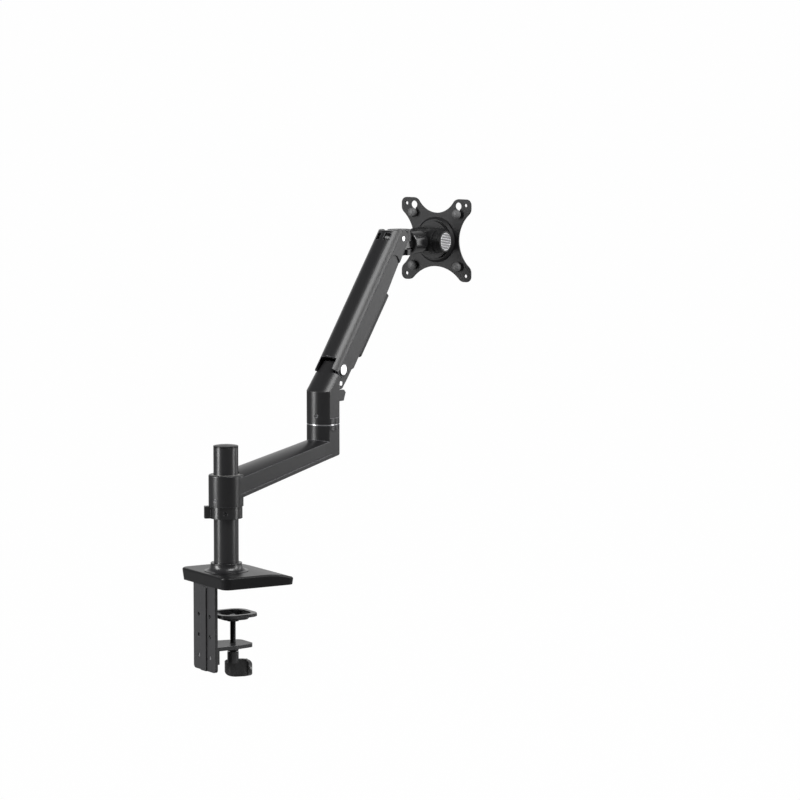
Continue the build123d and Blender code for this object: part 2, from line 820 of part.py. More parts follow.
with BuildPart() as sleeve_bushes:
    for start in (sleeve_bottom, sleeve_top - bush_height):
        with BuildSketch(level_plane(0, start)):
            Circle(sleeve_bore)
            Circle(pole_radius + run_gap, mode=Mode.SUBTRACT)
        extrude(amount=bush_height)
save(sleeve_bushes.part, "sleeve_bushes")

with BuildPart() as lower_arm_cover:
    with BuildSketch(bottom_plane.offset(cable_cover_proud)):
        with Locations((slot_mid, 0)):
            SlotOverall(slot_length - swing_gap, 2 * cable_slot_half - swing_gap)
    extrude(amount=-cable_cover_thick)
    fillet(lower_arm_cover.faces().sort_by(Axis.Z)[0].edges(), 1.2)
save(lower_arm_cover.part, "lower_arm_cover")

with BuildPart() as elbow_shaft:
    with BuildSketch(level_plane(elbow_along, elbow_height - elbow_shaft_depth)):
        Circle(elbow_shaft_radius)
    extrude(amount=elbow_shaft_depth + elbow_shaft_reach)
    chamfer(elbow_shaft.edges().filter_by(GeomType.CIRCLE), 1.0)
save(elbow_shaft.part, "elbow_shaft")

with BuildPart() as elbow_ring:
    with BuildSketch(level_plane(elbow_along, riser_top)):
        Circle(riser_radius - 0.9)
        Circle(elbow_shaft_radius + seat_gap, mode=Mode.SUBTRACT)
    extrude(amount=elbow_washer - face_gap)
save(elbow_ring.part, "elbow_ring")

# Elbow knuckle: a turned foot that leans over along the rake, with a slotted tongue
rake_dir = arm_dir * cos(radians(knuckle_rake)) + up_dir * sin(radians(knuckle_rake))
knuckle_bottom = elbow_height
bush_outer = elbow_shaft_radius + run_gap + bush_wall
elbow_side = side_plane(elbow_along, 0)
arm_side = side_plane(pivot_along, pivot_height, upper_tilt)
pivot_point = (pivot_forward, pivot_height)
link_point = (pivot_forward - link_back, pivot_height - link_drop)
link_turn = degrees(atan2(-link_drop, -link_back)) - upper_tilt
link_radius = hypot(link_back, link_drop)
crank_point = (spring_crank * cos(radians(link_turn)), spring_crank * sin(radians(link_turn)))
link_start = (link_radius * cos(radians(link_turn)), link_radius * sin(radians(link_turn)))
cheek_clear = shell_root_round + 1.2
lobe_clear = link_lobe + 1.2
slot_half = link_half_width + swing_gap


def arm_point(along, up):
    tilt = radians(upper_tilt)
    return (
        pivot_forward + along * cos(tilt) - up * sin(tilt),
        pivot_height + along * sin(tilt) + up * cos(tilt),
    )


def raked_body(outline, half_width):
    reach = 2 * (pivot_height - knuckle_crease) + riser_radius
    with BuildPart() as body:
        with BuildSketch(level_plane(elbow_along, knuckle_crease)):
            Circle(riser_radius)
            Rectangle(2 * riser_radius, 2 * half_width, mode=Mode.INTERSECT)
        extrude(amount=reach, dir=rake_dir)
        with BuildSketch(elbow_side):
            add(outline)
        extrude(amount=half_width, both=True, mode=Mode.INTERSECT)
    return body.part


with BuildSketch() as shoulder_outline:
    with BuildLine():
        Polyline(
            (-2 * riser_radius, knuckle_crease),
            (-2 * riser_radius, pivot_height + riser_radius),
            arm_point(-shell_root_round - 2.0, riser_radius),
            arm_point(-shell_root_round - 2.0, 0),
            (link_point[0], knuckle_crease),
            close=True,
        )
    make_face()
    with Locations(pivot_point):
        Circle(cheek_clear, mode=Mode.SUBTRACT)
    with Locations(link_point):
        Circle(lobe_clear, mode=Mode.SUBTRACT)

tongue_tip = shell_notch_end - shell_notch_gap
link_end_round = link_lobe - 1.2
with BuildSketch() as tongue_outline:
    with BuildLine():
        Polyline(
            (-riser_radius, knuckle_crease),
            (link_point[0], link_point[1] - link_end_round),
            (link_point[0] + link_end_round, link_point[1]),
            arm_point(shell_root_round - 1.0, 0),
            arm_point(tongue_tip, shell_shoulder),
            arm_point(tongue_tip - 2.0, riser_radius),
            (-2 * riser_radius, pivot_height + riser_radius),
            close=True,
        )
    make_face()

corner_forward = 3.6
corner_low = 15.0
corner_high = 4.0
foot_screw_turn = facet_turn - 23.0
foot_screw_height = elbow_height + 12.0
foot_out = Vector(cos(radians(foot_screw_turn)), sin(radians(foot_screw_turn)), 0)
knuckle_screw_plane = Plane(
    place(elbow_along, foot_screw_height) + foot_out * (riser_radius - 1.0),
    x_dir=foot_out.cross(up_dir) * -1,
    z_dir=foot_out,
)

with BuildPart() as elbow_knuckle:
    with BuildSketch(level_plane(elbow_along, knuckle_bottom)):
        Circle(riser_radius)
    extrude(amount=knuckle_crease - knuckle_bottom)
    for side in (1, -1):
        with BuildSketch(side_plane(elbow_along, 0, across=side * knuckle_half_width)):
            with Locations((0, (knuckle_bottom + knuckle_ledge + knuckle_crease) / 2)):
                Rectangle(2 * riser_radius, knuckle_crease - knuckle_bottom - knuckle_ledge)
        extrude(amount=side * riser_radius, mode=Mode.SUBTRACT)
    with BuildSketch(elbow_side):
        with BuildLine():
            Polyline(
                (0, knuckle_crease),
                (0, knuckle_crease - corner_low),
                (riser_radius - 1.0, knuckle_crease - corner_low),
                (riser_radius + corner_forward, knuckle_crease - corner_high),
                (riser_radius, knuckle_crease),
                close=True,
            )
        make_face()
    extrude(amount=knuckle_half_width, both=True)
    add(raked_body(shoulder_outline.sketch, knuckle_half_width))
    with BuildSketch(elbow_side):
        with Locations(link_point):
            Circle(link_floor_drop + 1.8)
        with BuildLine():
            Polyline(
                link_point,
                (link_point[0] - 6.0, link_point[1] - link_floor_drop + 1.2),
                (link_point[0] + 2 * riser_radius, link_point[1] - 38.0),
                (link_point[0] + 2 * riser_radius, link_point[1] + riser_radius),
                close=True,
            )
        make_face()
    extrude(amount=slot_half, both=True, mode=Mode.SUBTRACT)
    with BuildSketch(elbow_side):
        with Locations((riser_radius + throat_radius, throat_height)):
            Circle(throat_radius)
        with Locations((riser_radius + throat_radius, throat_height - throat_radius)):
            Rectangle(2 * throat_radius, 2 * throat_radius)
        with Locations((riser_radius + throat_lip + throat_radius, throat_height)):
            Rectangle(2 * throat_radius, 2 * throat_radius)
    extrude(amount=2 * knuckle_half_width, both=True, mode=Mode.SUBTRACT)
    add(raked_body(tongue_outline.sketch, tongue_half_width))
    with BuildSketch(arm_side):
        with Locations(crank_point):
            Circle(spring_eye_radius + 2.2)
        with Locations((crank_point[0] + 2 * riser_radius, 4.0 - 2 * riser_radius)):
            Rectangle(4 * riser_radius, 4 * riser_radius)
    extrude(amount=tongue_slot_half, both=True, mode=Mode.SUBTRACT)
    with BuildSketch(arm_side):
        Circle(pivot_radius + run_gap)
        with Locations(link_start):
            Circle(link_pin_radius + run_gap)
        with Locations(crank_point):
            Circle(spring_pin_radius + seat_gap)
    extrude(amount=tongue_half_width + 1, both=True, mode=Mode.SUBTRACT)
    with BuildSketch(level_plane(elbow_along, knuckle_bottom)):
        Circle(bush_outer + seat_gap)
    extrude(amount=elbow_shaft_reach + 0.5, mode=Mode.SUBTRACT)
    with BuildSketch(knuckle_screw_plane):
        Circle(set_screw_radius + seat_gap)
    extrude(amount=set_screw_length, both=True, mode=Mode.SUBTRACT)
save(elbow_knuckle.part, "elbow_knuckle")

save(set_screw(knuckle_screw_plane, set_screw_length), "knuckle_screw")

with BuildPart() as elbow_bush:
    with BuildSketch(level_plane(elbow_along, knuckle_bottom)):
        Circle(bush_outer)
        Circle(elbow_shaft_radius + run_gap, mode=Mode.SUBTRACT)
    extrude(amount=elbow_shaft_reach)
save(elbow_bush.part, "elbow_bush")

with BuildPart() as spring_lower_pin:
    with BuildSketch(side_plane(pivot_along, pivot_height, upper_tilt)):
        with Locations(crank_point):
            Circle(spring_pin_radius)
    extrude(amount=tongue_half_width, both=True)
save(spring_lower_pin.part, "spring_lower_pin")


# Upper arm: crowned channel that covers the linkage
def shell_section(half_width, crown_radius, depth):
    centre = shell_shoulder - sqrt(shell_crown_radius**2 - shell_half_width**2)
    shoulder = centre + sqrt(crown_radius**2 - half_width**2)
    with BuildSketch() as section:
        with BuildLine():
            Polyline(
                (-half_width, shoulder),
                (-half_width, -depth),
                (half_width, -depth),
                (half_width, shoulder),
            )
            ThreePointArc(
                (half_width, shoulder),
                (0, centre + crown_radius),
                (-half_width, shoulder),
            )
        make_face()
    return section.sketch


up_arm_dir = up_dir * cos(radians(upper_tilt)) - arm_dir * sin(radians(upper_tilt))
along_arm_dir = arm_dir * cos(radians(upper_tilt)) + up_dir * sin(radians(upper_tilt))
shell_plane = Plane(
    place(pivot_along, pivot_height) - along_arm_dir * 2 * shell_root_round,
    x_dir=up_arm_dir.cross(along_arm_dir),
    z_dir=along_arm_dir,
)
shell_reach = upper_length + 4 * shell_root_round
anchor_half = shell_half_width - shell_recess - shell_wall / 2
level_run = shell_top_cut / sin(radians(upper_tilt))
level_back = cos(radians(upper_tilt)) / sin(radians(upper_tilt))

with BuildSketch() as shell_outline:
    with BuildLine():
        Polyline(
            (-shell_root_round, 0),
            (-shell_root_round, 2 * shell_crown_radius),
            (upper_length + level_run - 2 * shell_crown_radius * level_back, 2 * shell_crown_radius),
            (upper_length + level_run - shell_shoulder * level_back, shell_shoulder),
            (upper_length + shell_tip_round, 0),
            (upper_length, -shell_tip_round),
            (upper_length - 2 * shell_tip_round, -shell_tip_depth),
            (upper_length * 2 / 3, -shell_waist_depth),
            (1.5 * shell_root_round, -shell_root_depth),
            (0.25 * shell_root_round, -0.96 * shell_root_round),
            close=True,
        )
    make_face()
    Circle(shell_root_round)
    with Locations((upper_length, 0)):
        Circle(shell_tip_round)

with BuildPart() as upper_arm_shell:
    with BuildSketch(shell_plane):
        add(shell_section(shell_half_width, shell_crown_radius, 3 * shell_root_round))
    extrude(amount=shell_reach)
    long_edges = upper_arm_shell.edges().filter_by(Axis(shell_plane.origin, along_arm_dir))
    fillet(long_edges.group_by(Axis(shell_plane.origin, up_arm_dir))[-1], shell_edge_round)
    with BuildSketch(shell_plane):
        add(
            shell_section(
                shell_half_width - shell_wall,
                shell_crown_radius - shell_wall,
                4 * shell_root_round,
            )
        )
    extrude(amount=shell_reach, mode=Mode.SUBTRACT)
    with BuildSketch(arm_side):
        add(shell_outline.sketch)
    extrude(amount=2 * shell_half_width, both=True, mode=Mode.INTERSECT)
    with BuildSketch(Plane(place(pivot_along, pivot_height), x_dir=along_arm_dir, z_dir=up_arm_dir)):
        with Locations((shell_notch_end - 2 * shell_root_round, 0)):
            Rectangle(4 * shell_root_round, 2 * shell_notch_half)
    extrude(amount=2 * shell_crown_radius, mode=Mode.SUBTRACT)
    with BuildSketch(Plane(place(pivot_along, pivot_height), x_dir=along_arm_dir, z_dir=up_arm_dir)):
        with Locations((upper_length - shell_window_length, 0)):
            with GridLocations(0, 1.7 * shell_window_width, 1, 2):
                RectangleRounded(shell_window_length, shell_window_width, 1.0)
    extrude(amount=2 * shell_crown_radius, mode=Mode.SUBTRACT)
    recess_end = upper_length - shell_recess_end
    recess_half = (shell_recess_top + shell_root_depth) / 2
    recess_mid = (shell_recess_top - shell_root_depth) / 2
    for side in (1, -1):
        with BuildSketch(side_plane(pivot_along, pivot_height, upper_tilt, side * shell_half_width)):
            with Locations((recess_end - recess_half, recess_mid)):
                Circle(recess_half)
            with Locations((recess_end - recess_half - upper_length / 2, recess_mid)):
                Rectangle(upper_length, 2 * recess_half)
        extrude(amount=-side * shell_recess, mode=Mode.SUBTRACT)
    with BuildSketch(arm_side):
        Circle(pivot_radius + seat_gap)
        with Locations((upper_length, 0)):
            Circle(tip_pin_radius + seat_gap)
    extrude(amount=2 * shell_half_width, both=True, mode=Mode.SUBTRACT)
    with BuildSketch(arm_side):
        with Locations((spring_anchor_along, spring_anchor_up)):
            Circle(spring_pin_radius + seat_gap)
    extrude(amount=anchor_half + face_gap, both=True, mode=Mode.SUBTRACT)
save(upper_arm_shell.part, "upper_arm_shell")

# Pins of the upper arm
shell_face = shell_half_width - shell_recess
with BuildPart() as main_pivot_pins:
    for side in (1, -1):
        inner_end = side * (tongue_slot_half + face_gap)
        with BuildSketch(side_plane(pivot_along, pivot_height, across=inner_end)):
            Circle(pivot_radius)
        extrude(amount=side * (shell_face - tongue_slot_half - face_gap))
        with BuildSketch(side_plane(pivot_along, pivot_height, across=side * shell_face)):
            Circle(pivot_cap_radius)
        extrude(amount=side * pivot_cap_height)
save(main_pivot_pins.part, "main_pivot_pins")

with BuildPart() as tip_pivot_pin:
    with BuildSketch(side_plane(tip_along, tip_height)):
        Circle(tip_pin_radius)
    extrude(amount=shell_half_width + 0.4, both=True)
save(tip_pivot_pin.part, "tip_pivot_pin")

with BuildPart() as spring_anchor_pin:
    with BuildSketch(arm_side):
        with Locations((spring_anchor_along, spring_anchor_up)):
            Circle(spring_pin_radius)
    extrude(amount=anchor_half, both=True)
save(spring_anchor_pin.part, "spring_anchor_pin")

# Lower link of the parallelogram, its pins and its cable cover
link_side = side_plane(link_along, link_height, upper_tilt)
link_inner = link_half_width - link_wall
link_floor_top = link_wall - link_floor_drop

with BuildPart() as lower_link:
    with BuildSketch(link_side):
        Circle(link_lobe)
        with Locations((upper_length, 0)):
            Circle(link_tip_lobe)
        with BuildLine():
            Polyline(
                (0, link_wall_rise),
                (upper_length, link_wall_rise),
                (upper_length, -link_tip_lobe + 0.4),
                (upper_length * 0.75, -link_floor_drop),
                (link_floor_start, -link_floor_drop),
                (0, -link_lobe + 0.2),
                close=True,
            )
        make_face()
    extrude(amount=link_half_width, both=True)
    with BuildSketch(link_side):
        with Locations((upper_length / 2, upper_length / 2 + link_floor_top)):
            Rectangle(2 * upper_length, upper_length)
        with Locations((link_floor_start - upper_length / 2, 0)):
            Rectangle(upper_length, upper_length)
        with Locations((link_floor_end + upper_length / 2, 0)):
            Rectangle(upper_length, upper_length)
    extrude(amount=link_inner, both=True, mode=Mode.SUBTRACT)
    with BuildSketch(link_side):
        Circle(link_pin_radius + seat_gap)
        with Locations((upper_length, 0)):
            Circle(link_pin_radius + face_gap)
    extrude(amount=2 * link_half_width, both=True, mode=Mode.SUBTRACT)
save(lower_link.part, "lower_link")

with BuildPart() as link_root_pins:
    for side in (1, -1):
        inner_end = side * (tongue_slot_half + face_gap)
        with BuildSketch(side_plane(link_along, link_height, across=inner_end)):
            Circle(link_pin_radius)
        extrude(amount=side * (link_half_width + 0.5 - tongue_slot_half))
save(link_root_pins.part, "link_root_pins")

with BuildPart() as link_tip_pin:
    with BuildSketch(side_plane(tip_along - link_back, tip_height - link_drop)):
        Circle(link_pin_radius)
    extrude(amount=link_half_width, both=True)
save(link_tip_pin.part, "link_tip_pin")

link_cover_plane = Plane(
    place(link_along, link_height) - up_arm_dir * link_floor_drop,
    x_dir=along_arm_dir,
    z_dir=-up_arm_dir,
)
link_cover_shift = -link_start[0]
with BuildPart() as arm_cable_cover:
    with BuildSketch(link_cover_plane):
        with Locations(((link_cover_start + link_cover_end) / 2 + link_cover_shift, 0)):
            RectangleRounded(link_cover_end - link_cover_start, 2 * link_cover_half, 3.0)
    extrude(amount=link_cover_thick)
    cover_face = arm_cable_cover.faces().sort_by(Axis(link_cover_plane.origin, -up_arm_dir))[-1]
    fillet(cover_face.edges(), 1.0)
save(arm_cable_cover.part, "arm_cable_cover")

# Gas spring
spring_run = (spring_anchor_along - crank_point[0], spring_anchor_up - crank_point[1])
spring_span = hypot(*spring_run)
spring_tilt = upper_tilt + degrees(atan2(spring_run[1], spring_run[0]))
crank_place = arm_point(*crank_point)
spring_side = side_plane(elbow_along + crank_place[0], crank_place[1], spring_tilt)
spring_dir = arm_dir * cos(radians(spring_tilt)) + up_dir * sin(radians(spring_tilt))
spring_foot = Plane(spring_side.origin, x_dir=side_dir, z_dir=spring_dir)
cylinder_end = spring_span - spring_eye_radius
cylinder_start = cylinder_end - spring_length
spring_wall = 1.5

with BuildPart() as gas_spring_cylinder:
    with BuildSketch(spring_side):
        with Locations((spring_span, 0)):
            Circle(spring_eye_radius)
        with Locations((spring_span - spring_eye_radius / 2, 0)):
            Rectangle(spring_eye_radius, spring_eye_radius)
    extrude(amount=spring_eye_half, both=True)
    with BuildSketch(spring_foot.offset(cylinder_start)):
        Circle(spring_radius)
    extrude(amount=spring_length)
    with BuildSketch(spring_side):
        with Locations((spring_span, 0)):
            Circle(spring_pin_radius + run_gap)
    extrude(amount=2 * spring_eye_half, both=True, mode=Mode.SUBTRACT)
    with BuildSketch(spring_foot.offset(cylinder_start)):
        Circle(spring_rod_radius + run_gap)
    extrude(amount=spring_length - 3 * spring_wall, mode=Mode.SUBTRACT)
    with BuildSketch(spring_foot.offset(cylinder_start + 4 * spring_wall)):
        Circle(spring_radius - spring_wall)
    extrude(amount=spring_length - 7 * spring_wall, mode=Mode.SUBTRACT)
save(gas_spring_cylinder.part, "gas_spring_cylinder")

rod_inside = 45.0
piston_radius = spring_radius - spring_wall - run_gap
with BuildPart() as gas_spring_rod:
    with BuildSketch(spring_side):
        Circle(spring_eye_radius)
    extrude(amount=spring_eye_half, both=True)
    with BuildSketch(spring_foot):
        Circle(spring_rod_radius)
    extrude(amount=cylinder_start + rod_inside)
    with BuildSketch(spring_foot.offset(cylinder_start + rod_inside)):
        Circle(piston_radius)
    extrude(amount=-2 * spring_wall)
    with BuildSketch(spring_side):
        Circle(spring_pin_radius + spring_eye_play)
    extrude(amount=2 * spring_eye_half, both=True, mode=Mode.SUBTRACT)
save(gas_spring_rod.part, "gas_spring_rod")

# Front knuckle: level block on the arm's tip with a clevis for the head
tip_side = side_plane(tip_along, tip_height)
ear_front = pan_forward + pan_ear_radius
gap_middle = (front_gap_top + front_gap_bottom) / 2
gap_height = front_gap_top - front_gap_bottom

with BuildPart() as front_knuckle:
    with BuildSketch(tip_side):
        Circle(front_tongue_top)
        with Locations((-link_back, -link_drop)):
            Circle(front_link_round)
        with BuildLine():
            Polyline(
                (0, front_tongue_top),
                (front_block_start + 2, front_tongue_top),
                (front_block_start + 2, -front_bottom),
                (-link_back, -link_drop - front_link_round),
                (-link_back - front_link_round, -link_drop),
                (-front_tongue_top, 0),
                close=True,
            )
        make_face()
    extrude(amount=front_tongue_half, both=True)
    with BuildSketch(level_plane(tip_along, tip_height - front_bottom)):
        with Locations((pan_forward, 0)):
            Circle(pan_ear_radius)
        with Locations(((front_block_start + pan_forward) / 2 - pan_ear_radius / 2, 0)):
            Rectangle(pan_ear_radius, 2 * pan_ear_radius)
        with Locations((front_block_start + pan_ear_radius, 0)):
            Rectangle(2 * pan_ear_radius, 2 * pan_ear_radius, mode=Mode.INTERSECT)
    extrude(amount=front_bottom + front_top)
    with BuildSketch(tip_side):
        with Locations((pan_web + pan_ear_radius * 2, gap_middle)):
            Rectangle(4 * pan_ear_radius, gap_height)
    extrude(amount=2 * pan_ear_radius, both=True, mode=Mode.SUBTRACT)
    with BuildSketch(tip_side):
        Circle(tip_pin_radius + run_gap)
        with Locations((-link_back, -link_drop)):
            Circle(link_pin_radius + seat_gap)
    extrude(amount=2 * pan_ear_radius, both=True, mode=Mode.SUBTRACT)
    with BuildSketch(level_plane(pan_along, tip_height - front_bottom)):
        Circle(pan_pin_radius + seat_gap)
    extrude(amount=front_bottom + front_top, mode=Mode.SUBTRACT)
    with BuildSketch(level_plane(pan_along, tip_height + front_top)):
        Circle(pan_head_radius + seat_gap)
    extrude(amount=-pan_head_height, mode=Mode.SUBTRACT)
save(front_knuckle.part, "front_knuckle")

with BuildPart() as pan_pin:
    with BuildSketch(level_plane(pan_along, tip_height - front_bottom)):
        Circle(pan_pin_radius)
    extrude(amount=front_bottom + front_top - pan_head_height)
    with BuildSketch(level_plane(pan_along, tip_height + front_top)):
        Circle(pan_head_radius)
        RegularPolygon(pan_pin_radius * 0.7, 6, mode=Mode.SUBTRACT)
    extrude(amount=-pan_head_height)
save(pan_pin.part, "pan_pin")

with BuildPart() as pan_washers:
    for start in (front_gap_top - pan_washer, front_gap_bottom):
        with BuildSketch(level_plane(pan_along, tip_height + start)):
            Circle(pan_tongue_radius)
            Circle(pan_pin_radius + seat_gap, mode=Mode.SUBTRACT)
        extrude(amount=pan_washer)
save(pan_washers.part, "pan_washers")

# Head: pan tongue, neck and tilt barrel in one casting
neck_start = pan_ear_radius + swing_gap + 0.4
neck_run = tilt_forward - pan_forward
neck_end = neck_run - barrel_radius - 2 * swing_gap
tongue_low = tip_height + front_gap_bottom + pan_washer + face_gap
tongue_height = gap_height - 2 * (pan_washer + face_gap)

with BuildPart() as head_body:
    with BuildSketch(facing_plane(pan_along + neck_start, tilt_height)):
        Ellipse(neck_half_width, neck_half_height)
    extrude(amount=-(neck_end - neck_start))
    fillet(head_body.edges(), neck_edge_round)
    with BuildSketch(side_plane(tilt_along, tilt_height)):
        Circle(barrel_radius)
        with Locations((-barrel_radius, 0)):
            Rectangle(2 * barrel_radius, 2 * (neck_half_height - neck_edge_round))
        with Locations((neck_end - neck_run - barrel_radius, 0)):
            Rectangle(2 * barrel_radius, 4 * barrel_radius, mode=Mode.SUBTRACT)
    extrude(amount=barrel_half, both=True)
    with BuildSketch(level_plane(pan_along, tongue_low)):
        Circle(pan_tongue_radius)
        with Locations((neck_start / 2 + 2, 0)):
            Rectangle(neck_start + 4, 2 * pan_tongue_radius)
        Circle(pan_pin_radius + run_gap, mode=Mode.SUBTRACT)
    extrude(amount=tongue_height)
    with BuildSketch(side_plane(tilt_along, tilt_height)):
        Circle(tilt_bolt_radius + run_gap)
    extrude(amount=2 * barrel_half, both=True, mode=Mode.SUBTRACT)
save(head_body.part, "head_body")

# Tilt yoke: two ears on the round hub that the plate turns on
ear_inner = barrel_half + face_gap
face_forward = plate_forward - vesa_thick / 2
ring_face = face_forward - ring_thick
hub_front = ring_face - face_gap
hub_back = hub_front - hub_thick
tilt_side = side_plane(tilt_along, tilt_height)
spigot_end = face_forward - 0.2

with BuildPart() as tilt_yoke:
    with BuildSketch(tilt_side):
        Circle(barrel_radius)
        with Locations((hub_back / 2 + 0.5, 0)):
            Rectangle(hub_back + 1, 2 * barrel_radius)
    extrude(amount=ear_outer, both=True)
    with BuildSketch(tilt_side):
        Circle(barrel_radius + swing_gap)
        with Locations((-barrel_radius, 0)):
            Rectangle(2 * barrel_radius, 4 * barrel_radius)
        with Locations((hub_back / 2, 0)):
            Rectangle(hub_back, 4 * barrel_radius)
    extrude(amount=ear_inner, both=True, mode=Mode.SUBTRACT)
    with BuildSketch(facing_plane(tilt_along + hub_front, plate_height)):
        Circle(hub_radius)
    extrude(amount=hub_thick)
    with BuildSketch(facing_plane(tilt_along + spigot_end, plate_height)):
        Circle(hub_bore_radius)
    extrude(amount=spigot_end - hub_front)
    with BuildSketch(tilt_side):
        Circle(tilt_bolt_radius + seat_gap)
    extrude(amount=2 * ear_outer, both=True, mode=Mode.SUBTRACT)
save(tilt_yoke.part, "tilt_yoke")

bolt_nut = 5.0
cap_seat = ear_outer + tilt_collar_thick + tilt_cap_proud - tilt_cap_thick
with BuildPart() as tilt_bolt:
    with BuildSketch(side_plane(tilt_along, tilt_height, across=-ear_outer - bolt_nut)):
        Circle(tilt_bolt_radius)
    extrude(amount=ear_outer + bolt_nut + cap_seat)
save(tilt_bolt.part, "tilt_bolt")

with BuildPart() as tilt_nut:
    with BuildSketch(side_plane(tilt_along, tilt_height, across=-ear_outer)):
        RegularPolygon(2 * tilt_bolt_radius, 6)
        Circle(tilt_bolt_radius + seat_gap, mode=Mode.SUBTRACT)
    extrude(amount=-bolt_nut)
save(tilt_nut.part, "tilt_nut")

with BuildPart() as tilt_collar:
    with BuildSketch(side_plane(tilt_along, tilt_height, across=ear_outer)):
        Circle(tilt_collar_radius)
    extrude(amount=tilt_collar_thick)
    fillet(tilt_collar.edges().filter_by(GeomType.CIRCLE), 1.0)
    with BuildSketch(side_plane(tilt_along, tilt_height, across=ear_outer + tilt_collar_thick / 2)):
        Circle(2 * tilt_collar_radius)
        Circle(tilt_collar_radius - tilt_collar_groove / 2, mode=Mode.SUBTRACT)
    extrude(amount=tilt_collar_groove, mode=Mode.SUBTRACT)
    with BuildSketch(side_plane(tilt_along, tilt_height, across=cap_seat)):
        Circle(tilt_cap_radius + seat_gap)
    extrude(amount=tilt_cap_thick, mode=Mode.SUBTRACT)
    with BuildSketch(side_plane(tilt_along, tilt_height, across=ear_outer)):
        Circle(tilt_bolt_radius + seat_gap)
    extrude(amount=tilt_collar_thick, mode=Mode.SUBTRACT)
save(tilt_collar.part, "tilt_collar")

with BuildPart() as tilt_cap:
    with BuildSketch(side_plane(tilt_along, tilt_height, across=cap_seat)):
        Circle(tilt_cap_radius)
    extrude(amount=tilt_cap_thick)
    rib_pitch = 2 * tilt_cap_radius / tilt_cap_ribs
    with BuildSketch(side_plane(tilt_along, tilt_height, across=cap_seat + tilt_cap_thick)):
        with GridLocations(0, rib_pitch, 1, tilt_cap_ribs):
            Rectangle(2 * tilt_cap_radius, rib_pitch * 0.45)
    extrude(amount=-tilt_cap_rib_depth, mode=Mode.SUBTRACT)
save(tilt_cap.part, "tilt_cap")

# Mounting plate
plate_face = facing_plane(plate_along - vesa_thick / 2, plate_height)
bite_depth = vesa_half - vesa_waist


def bite_radius(mouth):
    return (mouth**2 + bite_depth**2) / (2 * bite_depth)


top_bite = bite_radius(vesa_top_mouth)
side_bite = bite_radius(vesa_side_mouth)
foot_bite = bite_radius(vesa_foot_mouth)
top_thumbs = [(side * vesa_narrow / 2, vesa_narrow / 2) for side in (1, -1)]

with BuildPart() as vesa_plate:
    with BuildSketch(plate_face) as plate_outline:
        RectangleRounded(2 * vesa_half, 2 * vesa_half, vesa_corner)
        with Locations((0, vesa_waist + top_bite)):
            Circle(top_bite, mode=Mode.SUBTRACT)
        with Locations((0, -vesa_waist - foot_bite)):
            Circle(foot_bite, mode=Mode.SUBTRACT)
        with Locations((vesa_waist + side_bite, 0), (-vesa_waist - side_bite, 0)):
            Circle(side_bite, mode=Mode.SUBTRACT)
        mouths = [v for v in plate_outline.vertices() if min(abs(v.X), abs(v.Y)) < vesa_half - vesa_corner - 0.1]
        fillet(mouths, vesa_lobe_round)
        Circle(hub_bore_radius, mode=Mode.SUBTRACT)
        with GridLocations(vesa_wide, vesa_wide, 2, 2):
            Circle(vesa_hole_radius, mode=Mode.SUBTRACT)
        with GridLocations(vesa_narrow, vesa_narrow, 2, 2):
            Circle(vesa_hole_radius, mode=Mode.SUBTRACT)
        with Locations([(x, y + key_hole_rise) for x, y in top_thumbs]):
            Circle(key_hole_radius, mode=Mode.SUBTRACT)
        with Locations([(x, y + key_hole_rise / 2) for x, y in top_thumbs]):
            Rectangle(2 * vesa_hole_radius, key_hole_rise, mode=Mode.SUBTRACT)
    extrude(amount=-vesa_thick)
save(vesa_plate.part, "vesa_plate")

with BuildPart() as plate_ring:
    with BuildSketch(plate_face):
        Circle(ring_radius)
    extrude(amount=ring_thick)
    chamfer(plate_ring.faces().sort_by(Axis(plate_face.origin, -arm_dir))[-1].edges(), ring_thick * 0.6)
    with BuildSketch(plate_face):
        Circle(hub_bore_radius + run_gap)
    extrude(amount=ring_thick, mode=Mode.SUBTRACT)
    with BuildSketch(plate_face):
        Circle(hub_retainer_radius + swing_gap)
    extrude(amount=hub_retainer_thick + swing_gap, mode=Mode.SUBTRACT)
save(plate_ring.part, "plate_ring")

with BuildPart() as plate_retainer:
    with BuildSketch(plate_face.offset(0.2)):
        Circle(hub_retainer_radius)
        Circle(hub_bore_radius + seat_gap, mode=Mode.SUBTRACT)
    extrude(amount=hub_retainer_thick)
save(plate_retainer.part, "plate_retainer")

with BuildPart() as thumb_screws:
    with BuildSketch(plate_face.offset(-vesa_thick - thumb_stud_reach)):
        with GridLocations(vesa_narrow, vesa_narrow, 2, 2):
            Circle(thumb_stud_radius)
    extrude(amount=thumb_stud_reach - thumb_undercut)
    with BuildSketch(plate_face.offset(-vesa_thick - thumb_undercut)):
        with GridLocations(vesa_narrow, vesa_narrow, 2, 2):
            Circle(thumb_shank_radius)
    extrude(amount=vesa_thick + thumb_undercut)
    with BuildSketch(plate_face):
        with GridLocations(vesa_narrow, vesa_narrow, 2, 2):
            Circle(thumb_neck_radius)
    extrude(amount=thumb_stand)
    with BuildSketch(plate_face.offset(thumb_stand)):
        with GridLocations(vesa_narrow, vesa_narrow, 2, 2):
            Circle(thumb_radius)
    extrude(amount=thumb_height)
    tops = thumb_screws.faces().group_by(Axis(plate_face.origin, -arm_dir))[-1]
    fillet(tops.edges(), thumb_height * 0.3)
save(thumb_screws.part, "thumb_screws")
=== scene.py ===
import math

